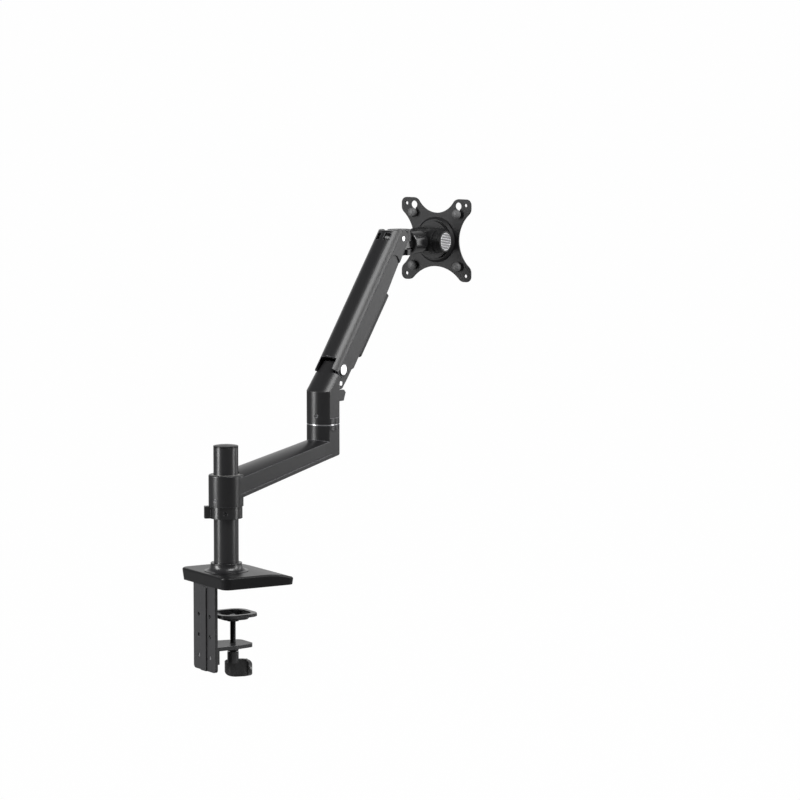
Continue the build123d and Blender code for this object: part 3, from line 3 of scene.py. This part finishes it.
import bpy
import numpy as np
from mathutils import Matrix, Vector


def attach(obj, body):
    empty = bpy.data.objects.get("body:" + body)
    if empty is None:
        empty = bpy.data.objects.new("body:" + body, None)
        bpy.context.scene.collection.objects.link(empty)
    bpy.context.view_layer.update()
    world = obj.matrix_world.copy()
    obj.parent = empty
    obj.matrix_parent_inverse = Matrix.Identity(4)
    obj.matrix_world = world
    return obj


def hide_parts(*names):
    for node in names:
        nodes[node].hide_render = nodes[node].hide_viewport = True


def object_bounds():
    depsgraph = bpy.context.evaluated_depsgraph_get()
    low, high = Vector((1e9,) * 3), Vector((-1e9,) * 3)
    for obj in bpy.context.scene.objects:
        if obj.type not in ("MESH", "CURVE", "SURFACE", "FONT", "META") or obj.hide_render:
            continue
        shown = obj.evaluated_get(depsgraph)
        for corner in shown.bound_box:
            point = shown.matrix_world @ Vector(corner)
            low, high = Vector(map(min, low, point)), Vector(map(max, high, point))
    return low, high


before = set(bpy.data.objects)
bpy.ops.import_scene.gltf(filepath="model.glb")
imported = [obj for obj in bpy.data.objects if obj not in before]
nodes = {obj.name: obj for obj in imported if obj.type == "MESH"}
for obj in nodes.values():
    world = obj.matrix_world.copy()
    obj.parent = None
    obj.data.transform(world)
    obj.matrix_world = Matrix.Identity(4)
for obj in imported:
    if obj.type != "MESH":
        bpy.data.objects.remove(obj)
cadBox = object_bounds()

mm = 0.001

# the arm's own vertical plane: along runs from the pole to the head, across points to the viewer's side
armPlane = {"yawDeg": 24.35}
yaw = math.radians(armPlane["yawDeg"])
along = np.array([math.sin(yaw), -math.cos(yaw), 0.0])
across = np.array([-math.cos(yaw), -math.sin(yaw), 0.0])
upward = np.array([0.0, 0.0, 1.0])
forward = np.array([0.0, -1.0, 0.0])
sideX = np.array([1.0, 0.0, 0.0])


def armPoint(alongMm, heightMm, acrossMm=0.0):
    # a point given in the arm's plane, in millimetres, as a point of the frame in metres
    return (along * alongMm + across * acrossMm + upward * heightMm) * mm


def addNode(tree, kind, values=None, **settings):
    # one shader node: its settings come first, because they decide which of its sockets are in use
    node = tree.nodes.new("ShaderNode" + kind)
    for setting, value in settings.items():
        setattr(node, setting, value)
    for socket, value in (values or {}).items():
        node.inputs[socket].default_value = value
    return node


# camera: it looks along the heading, tipped down by the pitch

camera = {"place": (-4.779, 2.672, 0.882), "heading": (0.8515, -0.5244), "pitchDeg": 6.64,
          "lens": 187.25, "sensor": 36.0, "farClip": 200.0}
lookX, lookY = camera["heading"]
cameraData = bpy.data.cameras.new("viewCamera")
cameraData.lens = camera["lens"]
cameraData.sensor_width = camera["sensor"]
cameraData.clip_end = camera["farClip"]
cameraObject = bpy.data.objects.new("viewCamera", cameraData)
cameraObject.location = camera["place"]
cameraObject.rotation_euler = (math.radians(90.0 - camera["pitchDeg"]), 0.0, math.atan2(-lookX, lookY))
bpy.context.scene.collection.objects.link(cameraObject)
bpy.context.scene.camera = cameraObject
bpy.context.scene.view_settings.view_transform = "Standard"

# each lamp: metres to the right, towards the viewer and up from the aim point, its size and power

viewRight = np.array([lookY, -lookX, 0.0])
viewBack = np.array([-lookX, -lookY, 0.0])
aimPoint = np.array([0.10, -0.20, 0.18])
lamps = {
    "leftPanel": {"right": -1.75, "back": 0.75, "up": 0.45, "size": (0.5, 1.9), "watts": 58.0},
    "rightPanel": {"right": 1.75, "back": 0.45, "up": 0.4, "size": (0.45, 1.9), "watts": 27.0},
    "rightBack": {"right": 1.55, "back": -0.8, "up": 0.5, "size": (0.6, 1.6), "watts": 9.0},
    "topPanel": {"right": 0.75, "back": 0.9, "up": 1.5, "size": (0.9, 0.9), "watts": 32.0},
}
for lampName, lamp in lamps.items():
    lampData = bpy.data.lights.new(lampName, "AREA")
    lampData.shape = "RECTANGLE"
    lampData.size, lampData.size_y = lamp["size"]
    lampData.energy = lamp["watts"]
    lampObject = bpy.data.objects.new(lampName, lampData)
    offset = viewRight * lamp["right"] + viewBack * lamp["back"] + upward * lamp["up"]
    lampObject.location = aimPoint + offset
    aim = -offset / np.linalg.norm(offset)
    lampObject.rotation_euler = (math.acos(-aim[2]), 0.0, math.atan2(aim[1], aim[0]) - math.pi / 2)
    bpy.context.scene.collection.objects.link(lampObject)

# sky: a weak light, white where it is seen or shines through; in mirrors it is white ahead and dim elsewhere,
# and it fades between the two cosines of the angle from the heading

sky = {"light": 0.1, "seen": 1.0, "nearMirror": 0.12, "farMirror": 1.0, "nearCosine": 0.7, "farCosine": 0.985}
world = bpy.data.worlds.new("studioSky")
bpy.context.scene.world = world
world.use_nodes = True
skyTree = world.node_tree
skyLink = skyTree.links.new
skyShade = skyTree.nodes["Background"]
skyShade.inputs["Color"].default_value = (1.0, 1.0, 1.0, 1.0)
skyRay = addNode(skyTree, "LightPath")
skyPlace = addNode(skyTree, "TexCoord")
skyAhead = addNode(skyTree, "VectorMath", {1: (lookX, lookY, 0.0)}, operation="DOT_PRODUCT")
skySpread = addNode(skyTree, "MapRange", {"From Min": sky["nearCosine"], "From Max": sky["farCosine"],
                                          "To Min": sky["nearMirror"], "To Max": sky["farMirror"]})
skyMirror = addNode(skyTree, "Math", operation="MULTIPLY")
skySeen = addNode(skyTree, "Math", operation="MAXIMUM")
skyClear = addNode(skyTree, "Math", operation="MAXIMUM")
skyMix = addNode(skyTree, "MapRange", {"To Min": sky["light"], "To Max": sky["seen"]})
skyLink(skyPlace.outputs["Generated"], skyAhead.inputs[0])
skyLink(skyAhead.outputs["Value"], skySpread.inputs["Value"])
skyLink(skyRay.outputs["Is Glossy Ray"], skyMirror.inputs[0])
skyLink(skySpread.outputs["Result"], skyMirror.inputs[1])
skyLink(skyRay.outputs["Is Camera Ray"], skySeen.inputs[0])
skyLink(skyMirror.outputs[0], skySeen.inputs[1])
skyLink(skySeen.outputs[0], skyClear.inputs[0])
skyLink(skyRay.outputs["Is Transmission Ray"], skyClear.inputs[1])
skyLink(skyClear.outputs[0], skyMix.inputs["Value"])
skyLink(skyMix.outputs["Result"], skyShade.inputs["Strength"])

# floor: a grey sheet just under the part, nearly white where it is seen, and a little lighter in mirrors

floorPlan = {"half": 90.0, "drop": 0.0005, "colour": (0.24, 0.24, 0.24, 1.0), "whiteShare": 0.992,
             "mirrorShare": 0.1}
floorMesh = bpy.data.meshes.new("studioFloor")
floorZ = cadBox[0][2] - floorPlan["drop"]
floorCorners = np.array([(-1, -1), (1, -1), (1, 1), (-1, 1)]) * floorPlan["half"]
floorMesh.from_pydata(np.column_stack([floorCorners, np.full(4, floorZ)]).tolist(), [], [(0, 1, 2, 3)])
floorObject = bpy.data.objects.new("studioFloor", floorMesh)
bpy.context.scene.collection.objects.link(floorObject)
floorPaint = bpy.data.materials.new("studioFloorPaint")
floorPaint.use_nodes = True
floorTree = floorPaint.node_tree
floorTree.nodes.clear()
floorLink = floorTree.links.new
floorOut = addNode(floorTree, "OutputMaterial")
floorMatt = addNode(floorTree, "BsdfDiffuse", {"Color": floorPlan["colour"]})
floorWhite = addNode(floorTree, "Emission")
floorMix = addNode(floorTree, "MixShader")
floorRay = addNode(floorTree, "LightPath")
floorMirror = addNode(floorTree, "Math", {1: floorPlan["mirrorShare"]}, operation="MULTIPLY")
floorSeen = addNode(floorTree, "Math", operation="MAXIMUM")
floorShare = addNode(floorTree, "Math", {1: floorPlan["whiteShare"]}, operation="MULTIPLY")
floorLink(floorRay.outputs["Is Glossy Ray"], floorMirror.inputs[0])
floorLink(floorRay.outputs["Is Camera Ray"], floorSeen.inputs[0])
floorLink(floorMirror.outputs[0], floorSeen.inputs[1])
floorLink(floorSeen.outputs[0], floorShare.inputs[0])
floorLink(floorShare.outputs[0], floorMix.inputs["Fac"])
floorLink(floorMatt.outputs[0], floorMix.inputs[1])
floorLink(floorWhite.outputs[0], floorMix.inputs[2])
floorLink(floorMix.outputs[0], floorOut.inputs["Surface"])
floorMesh.materials.append(floorPaint)
print("camera, lamps and floor placed")

# finishes: colour, roughness, scale and depth in metres of the fine grain, radius in metres of the softened edges,
# how many times lighter the painted edge highlight makes the edges, and the strength of the shine; metal and coat are
# nought unless given

finishes = {
    "armCoat": {"colour": (0.0095, 0.0095, 0.0102), "rough": 0.34, "grain": 1500.0, "deep": 4e-5,
                "edge": 0.0010, "edgeHighlightGain": 14.0, "shine": 0.38},
    "steelCoat": {"colour": (0.0330, 0.0330, 0.0345), "rough": 0.36, "grain": 1700.0, "deep": 4e-5,
                  "edge": 0.0006, "edgeHighlightGain": 4.0, "shine": 0.25},
    "plateCoat": {"colour": (0.0085, 0.0085, 0.0090), "rough": 0.5, "grain": 1700.0, "deep": 4e-5,
                  "edge": 0.0006, "edgeHighlightGain": 4.0, "shine": 0.2},
    "poleCoat": {"colour": (0.0110, 0.0110, 0.0118), "rough": 0.3, "grain": 1900.0, "deep": 2e-5,
                 "edge": 0.0005, "edgeHighlightGain": 1.2, "shine": 0.5},
    "coverPlastic": {"colour": (0.0055, 0.0055, 0.0060), "rough": 0.34, "grain": 2400.0, "deep": 3e-5,
                     "edge": 0.0009, "edgeHighlightGain": 1.15, "shine": 0.22},
    "knobPlastic": {"colour": (0.0380, 0.0380, 0.0390), "rough": 0.27, "grain": 1200.0, "deep": 1e-5,
                    "edge": 0.0003, "edgeHighlightGain": 1.1, "coat": 0.2, "shine": 0.4},
    "headGloss": {"colour": (0.0080, 0.0080, 0.0085), "rough": 0.22, "grain": 1400.0, "deep": 1.5e-5,
                  "edge": 0.0006, "edgeHighlightGain": 1.2, "shine": 0.65},
    "yokeSatin": {"colour": (0.0080, 0.0080, 0.0085), "rough": 0.5, "grain": 1500.0, "deep": 2e-5,
                  "edge": 0.0006, "edgeHighlightGain": 3.0, "shine": 0.2},
    "screwBlack": {"colour": (0.0200, 0.0200, 0.0210), "rough": 0.33, "grain": 2600.0, "deep": 2e-5,
                   "edge": 0.0002, "edgeHighlightGain": 1.6, "metal": 0.6, "shine": 0.4},
    "thumbBlack": {"colour": (0.0850, 0.0850, 0.0860), "rough": 0.48, "grain": 2200.0, "deep": 2e-5,
                   "edge": 0.0004, "edgeHighlightGain": 1.3, "shine": 0.3},
    "springPaint": {"colour": (0.014, 0.014, 0.015), "rough": 0.2, "grain": 900.0, "deep": 1e-5,
                    "edge": 0.0004, "edgeHighlightGain": 1.1, "coat": 0.3, "shine": 0.4},
    "shaftSteel": {"colour": (0.50, 0.50, 0.52), "rough": 0.28, "grain": 2600.0, "deep": 1e-5,
                   "edge": 0.0003, "edgeHighlightGain": 1.1, "metal": 1.0, "shine": 0.5},
    "pinPolish": {"colour": (0.80, 0.80, 0.81), "rough": 0.22, "grain": 1800.0, "deep": 6e-6,
                  "edge": 0.0004, "edgeHighlightGain": 1.05, "metal": 0.3, "shine": 0.5},
    "capSilver": {"colour": (0.57, 0.57, 0.58), "rough": 0.36, "grain": 2400.0, "deep": 1e-5,
                  "edge": 0.0002, "edgeHighlightGain": 1.05, "metal": 0.9, "shine": 0.5},
    "ringSatin": {"colour": (0.42, 0.42, 0.43), "rough": 0.3, "grain": 2200.0, "deep": 1e-5,
                  "edge": 0.0003, "edgeHighlightGain": 1.1, "metal": 0.9, "shine": 0.5},
    "screwSatin": {"colour": (0.12, 0.12, 0.125), "rough": 0.36, "grain": 2200.0, "deep": 1e-5,
                   "edge": 0.0003, "edgeHighlightGain": 1.6, "metal": 0.8, "shine": 0.5},
    "padRubber": {"colour": (0.014, 0.014, 0.014), "rough": 0.78, "grain": 1100.0, "deep": 8e-5,
                  "edge": 0.0006, "edgeHighlightGain": 1.3, "shine": 0.15},
    "bushNylon": {"colour": (0.42, 0.42, 0.40), "rough": 0.5, "grain": 1300.0, "deep": 2e-5,
                  "edge": 0.0003, "edgeHighlightGain": 1.05, "shine": 0.4},
}

# what all finishes share: the drift is the share by which colour and roughness go up and down, and a painted
# edge highlight lightens an edge as the cosine between its softened and its true normal falls from one value to the
# other
surface = {"broadScale": 26.0, "broadDetail": 3.0, "fineDetail": 2.0, "drift": 0.12, "bevelSamples": 8,
           "edgeFrom": 0.99, "edgeTo": 0.75, "bump": 0.6, "coatRough": 0.12}


def tinted(colour, times):
    return [min(1.0, c * times) for c in colour] + [1.0]


def makeFinish(name, look):
    # colour drifts with a broad noise and gets a painted highlight at edges; roughness and bump follow a fine noise
    paint = bpy.data.materials.new(name)
    paint.use_nodes = True
    tree = paint.node_tree
    link = tree.links.new
    less, more = 1.0 - surface["drift"], 1.0 + surface["drift"]
    shade = tree.nodes["Principled BSDF"]
    place = addNode(tree, "TexCoord")
    fine = addNode(tree, "TexNoise", {"Scale": look["grain"], "Detail": surface["fineDetail"]})
    broad = addNode(tree, "TexNoise", {"Scale": surface["broadScale"], "Detail": surface["broadDetail"]})
    link(place.outputs["Object"], fine.inputs["Vector"])
    link(place.outputs["Object"], broad.inputs["Vector"])
    drift = addNode(tree, "Mix", {"A": tinted(look["colour"], less), "B": tinted(look["colour"], more)},
                    data_type="RGBA")
    link(broad.outputs["Fac"], drift.inputs["Factor"])
    soft = addNode(tree, "Bevel", {"Radius": look["edge"]}, samples=surface["bevelSamples"])
    flat = addNode(tree, "NewGeometry")
    facing = addNode(tree, "VectorMath", operation="DOT_PRODUCT")
    link(soft.outputs["Normal"], facing.inputs[0])
    link(flat.outputs["Normal"], facing.inputs[1])
    edge = addNode(tree, "MapRange", {"From Min": surface["edgeFrom"], "From Max": surface["edgeTo"]})
    link(facing.outputs["Value"], edge.inputs["Value"])
    # painted highlight: the edges are lightened in colour, standing in for light caught along rounded edges
    paintedEdgeHighlight = addNode(tree, "Mix", {"B": tinted(look["colour"], look["edgeHighlightGain"])}, data_type="RGBA")
    link(edge.outputs["Result"], paintedEdgeHighlight.inputs["Factor"])
    link(drift.outputs["Result"], paintedEdgeHighlight.inputs["A"])
    link(paintedEdgeHighlight.outputs["Result"], shade.inputs["Base Color"])
    rough = addNode(tree, "MapRange", {"To Min": look["rough"] * less, "To Max": min(1.0, look["rough"] * more)})
    link(fine.outputs["Fac"], rough.inputs["Value"])
    link(rough.outputs["Result"], shade.inputs["Roughness"])
    bump = addNode(tree, "Bump", {"Strength": surface["bump"], "Distance": look["deep"]})
    link(fine.outputs["Fac"], bump.inputs["Height"])
    link(soft.outputs["Normal"], bump.inputs["Normal"])
    link(bump.outputs["Normal"], shade.inputs["Normal"])
    shade.inputs["Metallic"].default_value = look.get("metal", 0.0)
    shade.inputs["Specular IOR Level"].default_value = look["shine"]
    shade.inputs["Coat Weight"].default_value = look.get("coat", 0.0)
    shade.inputs["Coat Roughness"].default_value = surface["coatRough"]
    return paint


paints = {name: makeFinish(name, look) for name, look in finishes.items()}
wearers = {
    "armCoat": ["lower_arm", "elbow_knuckle", "upper_arm_shell", "front_knuckle", "lower_link"],
    "plateCoat": ["vesa_plate", "plate_ring", "plate_retainer", "tilt_collar"],
    "steelCoat": ["base_plate", "clamp_plate", "clamp_bracket", "pressure_plate"],
    "poleCoat": ["pole", "pole_socket", "jaw_pad"],
    "coverPlastic": ["base_cover", "pole_cap", "lower_arm_cover", "arm_cable_cover"],
    "knobPlastic": ["clamp_knob"],
    "ringSatin": ["elbow_ring"],
    "headGloss": ["head_body", "stop_collar"],
    "yokeSatin": ["tilt_yoke"],
    "screwBlack": ["base_screws", "pan_pin", "clamp_nut", "collar_screw", "tilt_nut", "screw_clip", "pole_bolt"],
    "thumbBlack": ["thumb_screws"],
    "springPaint": ["gas_spring_cylinder"],
    "shaftSteel": ["clamp_screw", "bracket_screws", "spring_anchor_pin", "spring_lower_pin", "tilt_bolt",
                   "gas_spring_rod", "elbow_shaft"],
    "screwSatin": ["sleeve_screw", "knuckle_screw"],
    "pinPolish": ["main_pivot_pins", "tip_pivot_pin", "link_root_pins", "link_tip_pin"],
    "capSilver": ["tilt_cap"],
    "padRubber": ["base_pad"],
    "bushNylon": ["sleeve_bushes", "elbow_bush", "pan_washers", "pole_plug"],
}
for finish, members in wearers.items():
    for member in members:
        nodes[member].data.materials.clear()
        nodes[member].data.materials.append(paints[finish])
print("finishes on", sum(len(m) for m in wearers.values()), "nodes")

# turned and relief pieces, each worked out on a grid of turns and heights, with sizes in millimetres


def turnedSurface(name, radii, heights, centres, outward, sideways, looped=False):
    # point(row, turn) = centre + outward * height + radius(row, turn) * (sideways cos + third sin)
    # each end is closed by a fan on the mean of its ring, or a looped profile joins its last ring to its first;
    # several centres give several closed shells
    rows, turns = radii.shape
    angle = np.linspace(0.0, 2.0 * math.pi, turns, endpoint=False)
    third = np.cross(outward, sideways)
    levels = np.broadcast_to(np.asarray(heights).reshape(rows, -1), (rows, turns))
    ring = radii[..., None] * (np.cos(angle)[:, None] * sideways + np.sin(angle)[:, None] * third)
    shell = (ring + levels[..., None] * outward) * mm
    points = shell.reshape(-1, 3)
    here = np.arange(rows * turns).reshape(rows, turns)
    if looped:
        here = np.concatenate([here, here[:1]])
    after = np.roll(here, -1, axis=1)
    quads = np.stack([here[:-1], after[:-1], after[1:], here[1:]], axis=-1).reshape(-1, 4)
    fans = []
    if not looped:
        points = np.concatenate([points, [shell[0].mean(axis=0), shell[-1].mean(axis=0)]])
        low = np.stack([after[0], here[0], np.full(turns, rows * turns)], axis=-1)
        high = np.stack([here[-1], after[-1], np.full(turns, rows * turns + 1)], axis=-1)
        fans = [low, high]
    verts = (np.asarray(centres)[:, None, :] + points[None]).reshape(-1, 3)
    faces = []
    for copy in range(len(centres)):
        step = copy * len(points)
        for part in [quads] + fans:
            faces += (part + step).tolist()
    mesh = bpy.data.meshes.new(name)
    mesh.from_pydata(verts.tolist(), [], faces)
    mesh.polygons.foreach_set("use_smooth", np.ones(len(mesh.polygons), dtype=bool))
    mesh.update()
    piece = bpy.data.objects.new(name, mesh)
    bpy.context.scene.collection.objects.link(piece)
    return piece


def profileRows(profile, finest):
    # a profile of (height, radius) corners, filled with rows no farther apart than finest
    corners = np.array(profile)
    run = np.hypot(*np.diff(corners, axis=0).T)
    count = np.maximum(1, np.ceil(run / finest)).astype(int)
    share = np.concatenate([np.arange(c) / c + i for i, c in enumerate(count)] + [[len(count)]])
    index = np.arange(len(corners))
    return np.interp(share, index, corners[:, 0]), np.interp(share, index, corners[:, 1])


def roundRows(radius, turns):
    # a column of radii, the same all the way round
    return np.repeat(np.asarray(radius)[:, None], turns, axis=1)


def threadCut(height, turn, pitch):
    # depth of a single-start thread, from 0 at the crest to 1 at the root: tri(height / pitch - turn)
    phase = np.mod(height[:, None] / pitch - turn[None, :], 1.0)
    return 1.0 - np.abs(2.0 * phase - 1.0)


def dress(piece, finish, body, slotName, *stoodFor):
    piece.data.materials.append(paints[finish])
    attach(piece, body)
    if stoodFor:
        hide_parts(*stoodFor)
    return piece


# clamp screw: r = outer - depth * threadCut up to a plain shoulder under the jaw, and a plain tip above it
clampThread = {"forward": 9.5, "foot": -106.0, "shoulderFoot": -51.6, "shoulderTop": -48.6, "tip": -44.0,
               "radius": 4.0, "endRadius": 3.4, "footLead": 0.6, "tipRadius": 3.95, "tipLead": 0.5, "step": 0.02,
               "shoulderRadius": 9.0, "shoulderTaper": 1.1, "pitch": 1.25, "depth": 0.62, "runOut": 0.5,
               "rowsPerPitch": 8, "turns": 48}
size = clampThread
threadFoot = size["foot"] + size["footLead"]
height, radius = profileRows([
    (size["foot"], size["endRadius"]),
    (threadFoot, size["radius"]),
    (size["shoulderFoot"] - size["step"], size["radius"]),
    (size["shoulderFoot"], size["shoulderRadius"] - size["shoulderTaper"]),
    (size["shoulderTop"], size["shoulderRadius"]),
    (size["shoulderTop"] + size["step"], size["tipRadius"]),
    (size["tip"] - size["tipLead"], size["tipRadius"]),
    (size["tip"], size["endRadius"]),
], size["pitch"] / size["rowsPerPitch"])
turn = np.linspace(0.0, 1.0, size["turns"], endpoint=False)
threaded = ((height > threadFoot) & (height < size["shoulderFoot"] - size["runOut"]))[:, None]
radii = radius[:, None] - size["depth"] * threadCut(height, turn, size["pitch"]) * threaded
screwPiece = turnedSurface("clampThread", radii, height, [forward * size["forward"] * mm], upward, sideX)
dress(screwPiece, "screwBlack", "clamp_screw", "bright_steel", "clamp_screw")

# riveted tip of the screw in the jaw's dish: a dome, radius falling as the cosine of its rise
jawRivet = {"forward": 9.5, "seat": -44.65, "radius": 4.9, "rise": 1.9, "sweep": 0.97, "rows": 16, "turns": 48}
size = jawRivet
rise = np.linspace(0.0, size["sweep"], size["rows"]) * math.pi / 2
rivetPiece = turnedSurface("jawRivet", roundRows(size["radius"] * np.cos(rise), size["turns"]),
                           size["seat"] + size["rise"] * np.sin(rise), [forward * size["forward"] * mm],
                           upward, sideX)
dress(rivetPiece, "pinPolish", "clamp_screw", "polished")

# thumb screws: neck, fluted head with a dome, undercut shank and a threaded stud, turned about the plate's normal
# r = profile - threadDeep * threadCut on the stud, and profile - fluteDeep * (1 - cos(flutes * turn)) / 2 on the head
thumbHeads = {"along": 503.906, "height": 425.8, "pattern": 75.0, "neck": 4.2, "neckFoot": 0.05, "stand": 2.6,
              "head": 6.5, "chamfer": 0.5, "top": 9.2, "dome": 3.4, "domeSweep": 0.98, "domeRows": 14, "flutes": 20,
              "fluteDeep": 0.34, "plate": 2.4, "undercut": 0.4, "shank": 1.6, "stud": 2.0, "studTip": 1.5,
              "studEnd": -9.4, "studLead": 0.5, "runOut": 0.2, "pitch": 0.7, "threadDeep": 0.3, "step": 0.02,
              "rowsPerPitch": 4, "turns": 80}
size = thumbHeads
studTop = -size["plate"] - size["undercut"]
studFoot = size["studEnd"] + size["studLead"]
sideFoot = size["stand"] + size["chamfer"]
domeFoot = size["top"] - size["dome"]
dome = np.linspace(0.0, size["domeSweep"], size["domeRows"]) * math.pi / 2
domeRows = [(size["top"] - size["dome"] * (1.0 - math.sin(t)), size["head"] * math.cos(t)) for t in dome]
height, radius = profileRows([
    (size["studEnd"], size["studTip"]),
    (studFoot, size["stud"]),
    (studTop, size["stud"]),
    (studTop + size["step"], size["shank"]),
    (size["neckFoot"], size["shank"]),
    (size["neckFoot"] + size["step"], size["neck"]),
    (size["stand"], size["neck"]),
    (size["stand"] + size["step"], size["head"] - size["chamfer"]),
    (sideFoot, size["head"]),
] + domeRows, size["pitch"] / size["rowsPerPitch"])
turn = np.linspace(0.0, 1.0, size["turns"], endpoint=False)
studPart = ((height > studFoot) & (height < studTop - size["runOut"]))[:, None]
sidePart = ((height > sideFoot) & (height < domeFoot))[:, None]
flute = 0.5 - 0.5 * np.cos(2.0 * math.pi * size["flutes"] * turn)[None, :]
radii = radius[:, None] - size["threadDeep"] * threadCut(height, turn, size["pitch"]) * studPart
radii = radii - size["fluteDeep"] * flute * sidePart
half = size["pattern"] / 2
places = [armPoint(size["along"], size["height"] + v * half, u * half) for u in (-1, 1) for v in (-1, 1)]
thumbPiece = turnedSurface("thumbHeads", radii, height, places, -along, across)
dress(thumbPiece, "thumbBlack", "plate", "dark_steel", "thumb_screws")

# tilt cap: a disc with a rounded edge and a ribbed face, height = top - rib * (1 - cos(2 pi up / pitch)) / 2,
# where the ribs fade out at the rim; a wave is the part of the cosine over which painted shade darkens the grooves
ribbedCap = {"along": 476.706, "height": 426.0, "seat": 30.35, "top": 34.8, "radius": 12.7, "round": 0.6,
             "roundRows": 8, "rim": 0.9, "fadeFrom": 0.1, "fade": 0.2, "centre": 0.1, "faceRows": 70, "turns": 240,
             "pitch": 2.3, "rib": 0.9, "grooveShade": (0.03, 0.03, 0.032, 1.0), "shadeWave": (0.3, -0.5)}
size = ribbedCap
bend = np.linspace(0.0, 1.0, size["roundRows"]) * math.pi / 2
bendLevel = size["top"] - size["round"] + size["round"] * np.sin(bend)
bendRadius = size["radius"] - size["round"] + size["round"] * np.cos(bend)
faceRadius = np.linspace(size["radius"] - size["rim"], size["centre"], size["faceRows"])
radius = np.concatenate([[size["radius"]], bendRadius, faceRadius])
level = np.concatenate([[size["seat"]], bendLevel, np.full(size["faceRows"], size["top"])])
turn = np.linspace(0.0, 2.0 * math.pi, size["turns"], endpoint=False)
rise = radius[:, None] * np.sin(turn)[None, :]
ribbed = np.clip((size["radius"] - size["rim"] - size["fadeFrom"] - radius) / size["fade"], 0.0, 1.0)[:, None]
heights = level[:, None] - ribbed * size["rib"] * (0.5 - 0.5 * np.cos(2.0 * math.pi * rise / size["pitch"]))
capPiece = turnedSurface("ribbedCap", roundRows(radius, size["turns"]), heights,
                         [armPoint(size["along"], size["height"])], across, along)
dress(capPiece, "capSilver", "tilt", "silver_cap", "tilt_cap")

# painted shade: the cap's grooves are darkened in colour, standing in for the shade that falls in them; a cosine of
# the height, in step with the ribs, mixes the groove shade colour in
capTree = paints["capSilver"].node_tree
capLink = capTree.links.new
capShade = capTree.nodes["Principled BSDF"]
capColour = capShade.inputs["Base Color"].links[0].from_socket
capPlace = addNode(capTree, "TexCoord")
capAxes = addNode(capTree, "SeparateXYZ")
capStep = addNode(capTree, "Math", {1: 2.0 * math.pi / (size["pitch"] * mm),
                                    2: -2.0 * math.pi * size["height"] / size["pitch"]}, operation="MULTIPLY_ADD")
capWave = addNode(capTree, "Math", operation="COSINE")
capShare = addNode(capTree, "MapRange", {"From Min": size["shadeWave"][0], "From Max": size["shadeWave"][1]})
capGrooveShade = addNode(capTree, "Mix", {"B": size["grooveShade"]}, data_type="RGBA")
capLink(capPlace.outputs["Object"], capAxes.inputs[0])
capLink(capAxes.outputs["Z"], capStep.inputs[0])
capLink(capStep.outputs[0], capWave.inputs[0])
capLink(capWave.outputs[0], capShare.inputs["Value"])
capLink(capShare.outputs["Result"], capGrooveShade.inputs["Factor"])
capLink(capColour, capGrooveShade.inputs["A"])
capLink(capGrooveShade.outputs["Result"], capShade.inputs["Base Color"])

# pivot rings: a dark half-round ring round each pivot cap, a dark piece standing in for the shade of the recess round
# the cap, radius = mean + half * cos(t), height = rise * sin(t), with a foot sunk into the shell
pivotShadeRings = {"along": 247.1, "height": 264.4, "face": 17.8, "inner": 6.4, "outer": 9.2, "rise": 1.5, "sink": 0.3,
              "rows": 14, "turns": 64}
size = pivotShadeRings
sweep = np.linspace(0.0, 1.0, size["rows"]) * math.pi
mean, half = (size["outer"] + size["inner"]) / 2, (size["outer"] - size["inner"]) / 2
radius = np.concatenate([[size["outer"]], mean + half * np.cos(sweep), [size["inner"]]])
level = np.concatenate([[-size["sink"]], size["rise"] * np.sin(sweep), [-size["sink"]]])
for side, sideName in ((1, "Near"), (-1, "Far")):
    seat = armPoint(size["along"], size["height"], side * size["face"])
    ringPiece = turnedSurface("pivotShadeRing" + sideName, roundRows(radius, size["turns"]), level, [seat],
                              side * across, along, looped=True)
    dress(ringPiece, "knobPlastic", "upper_arm", "black_plastic")

print("turned pieces made: clampThread, jawRivet, thumbHeads, ribbedCap, pivotShadeRings")
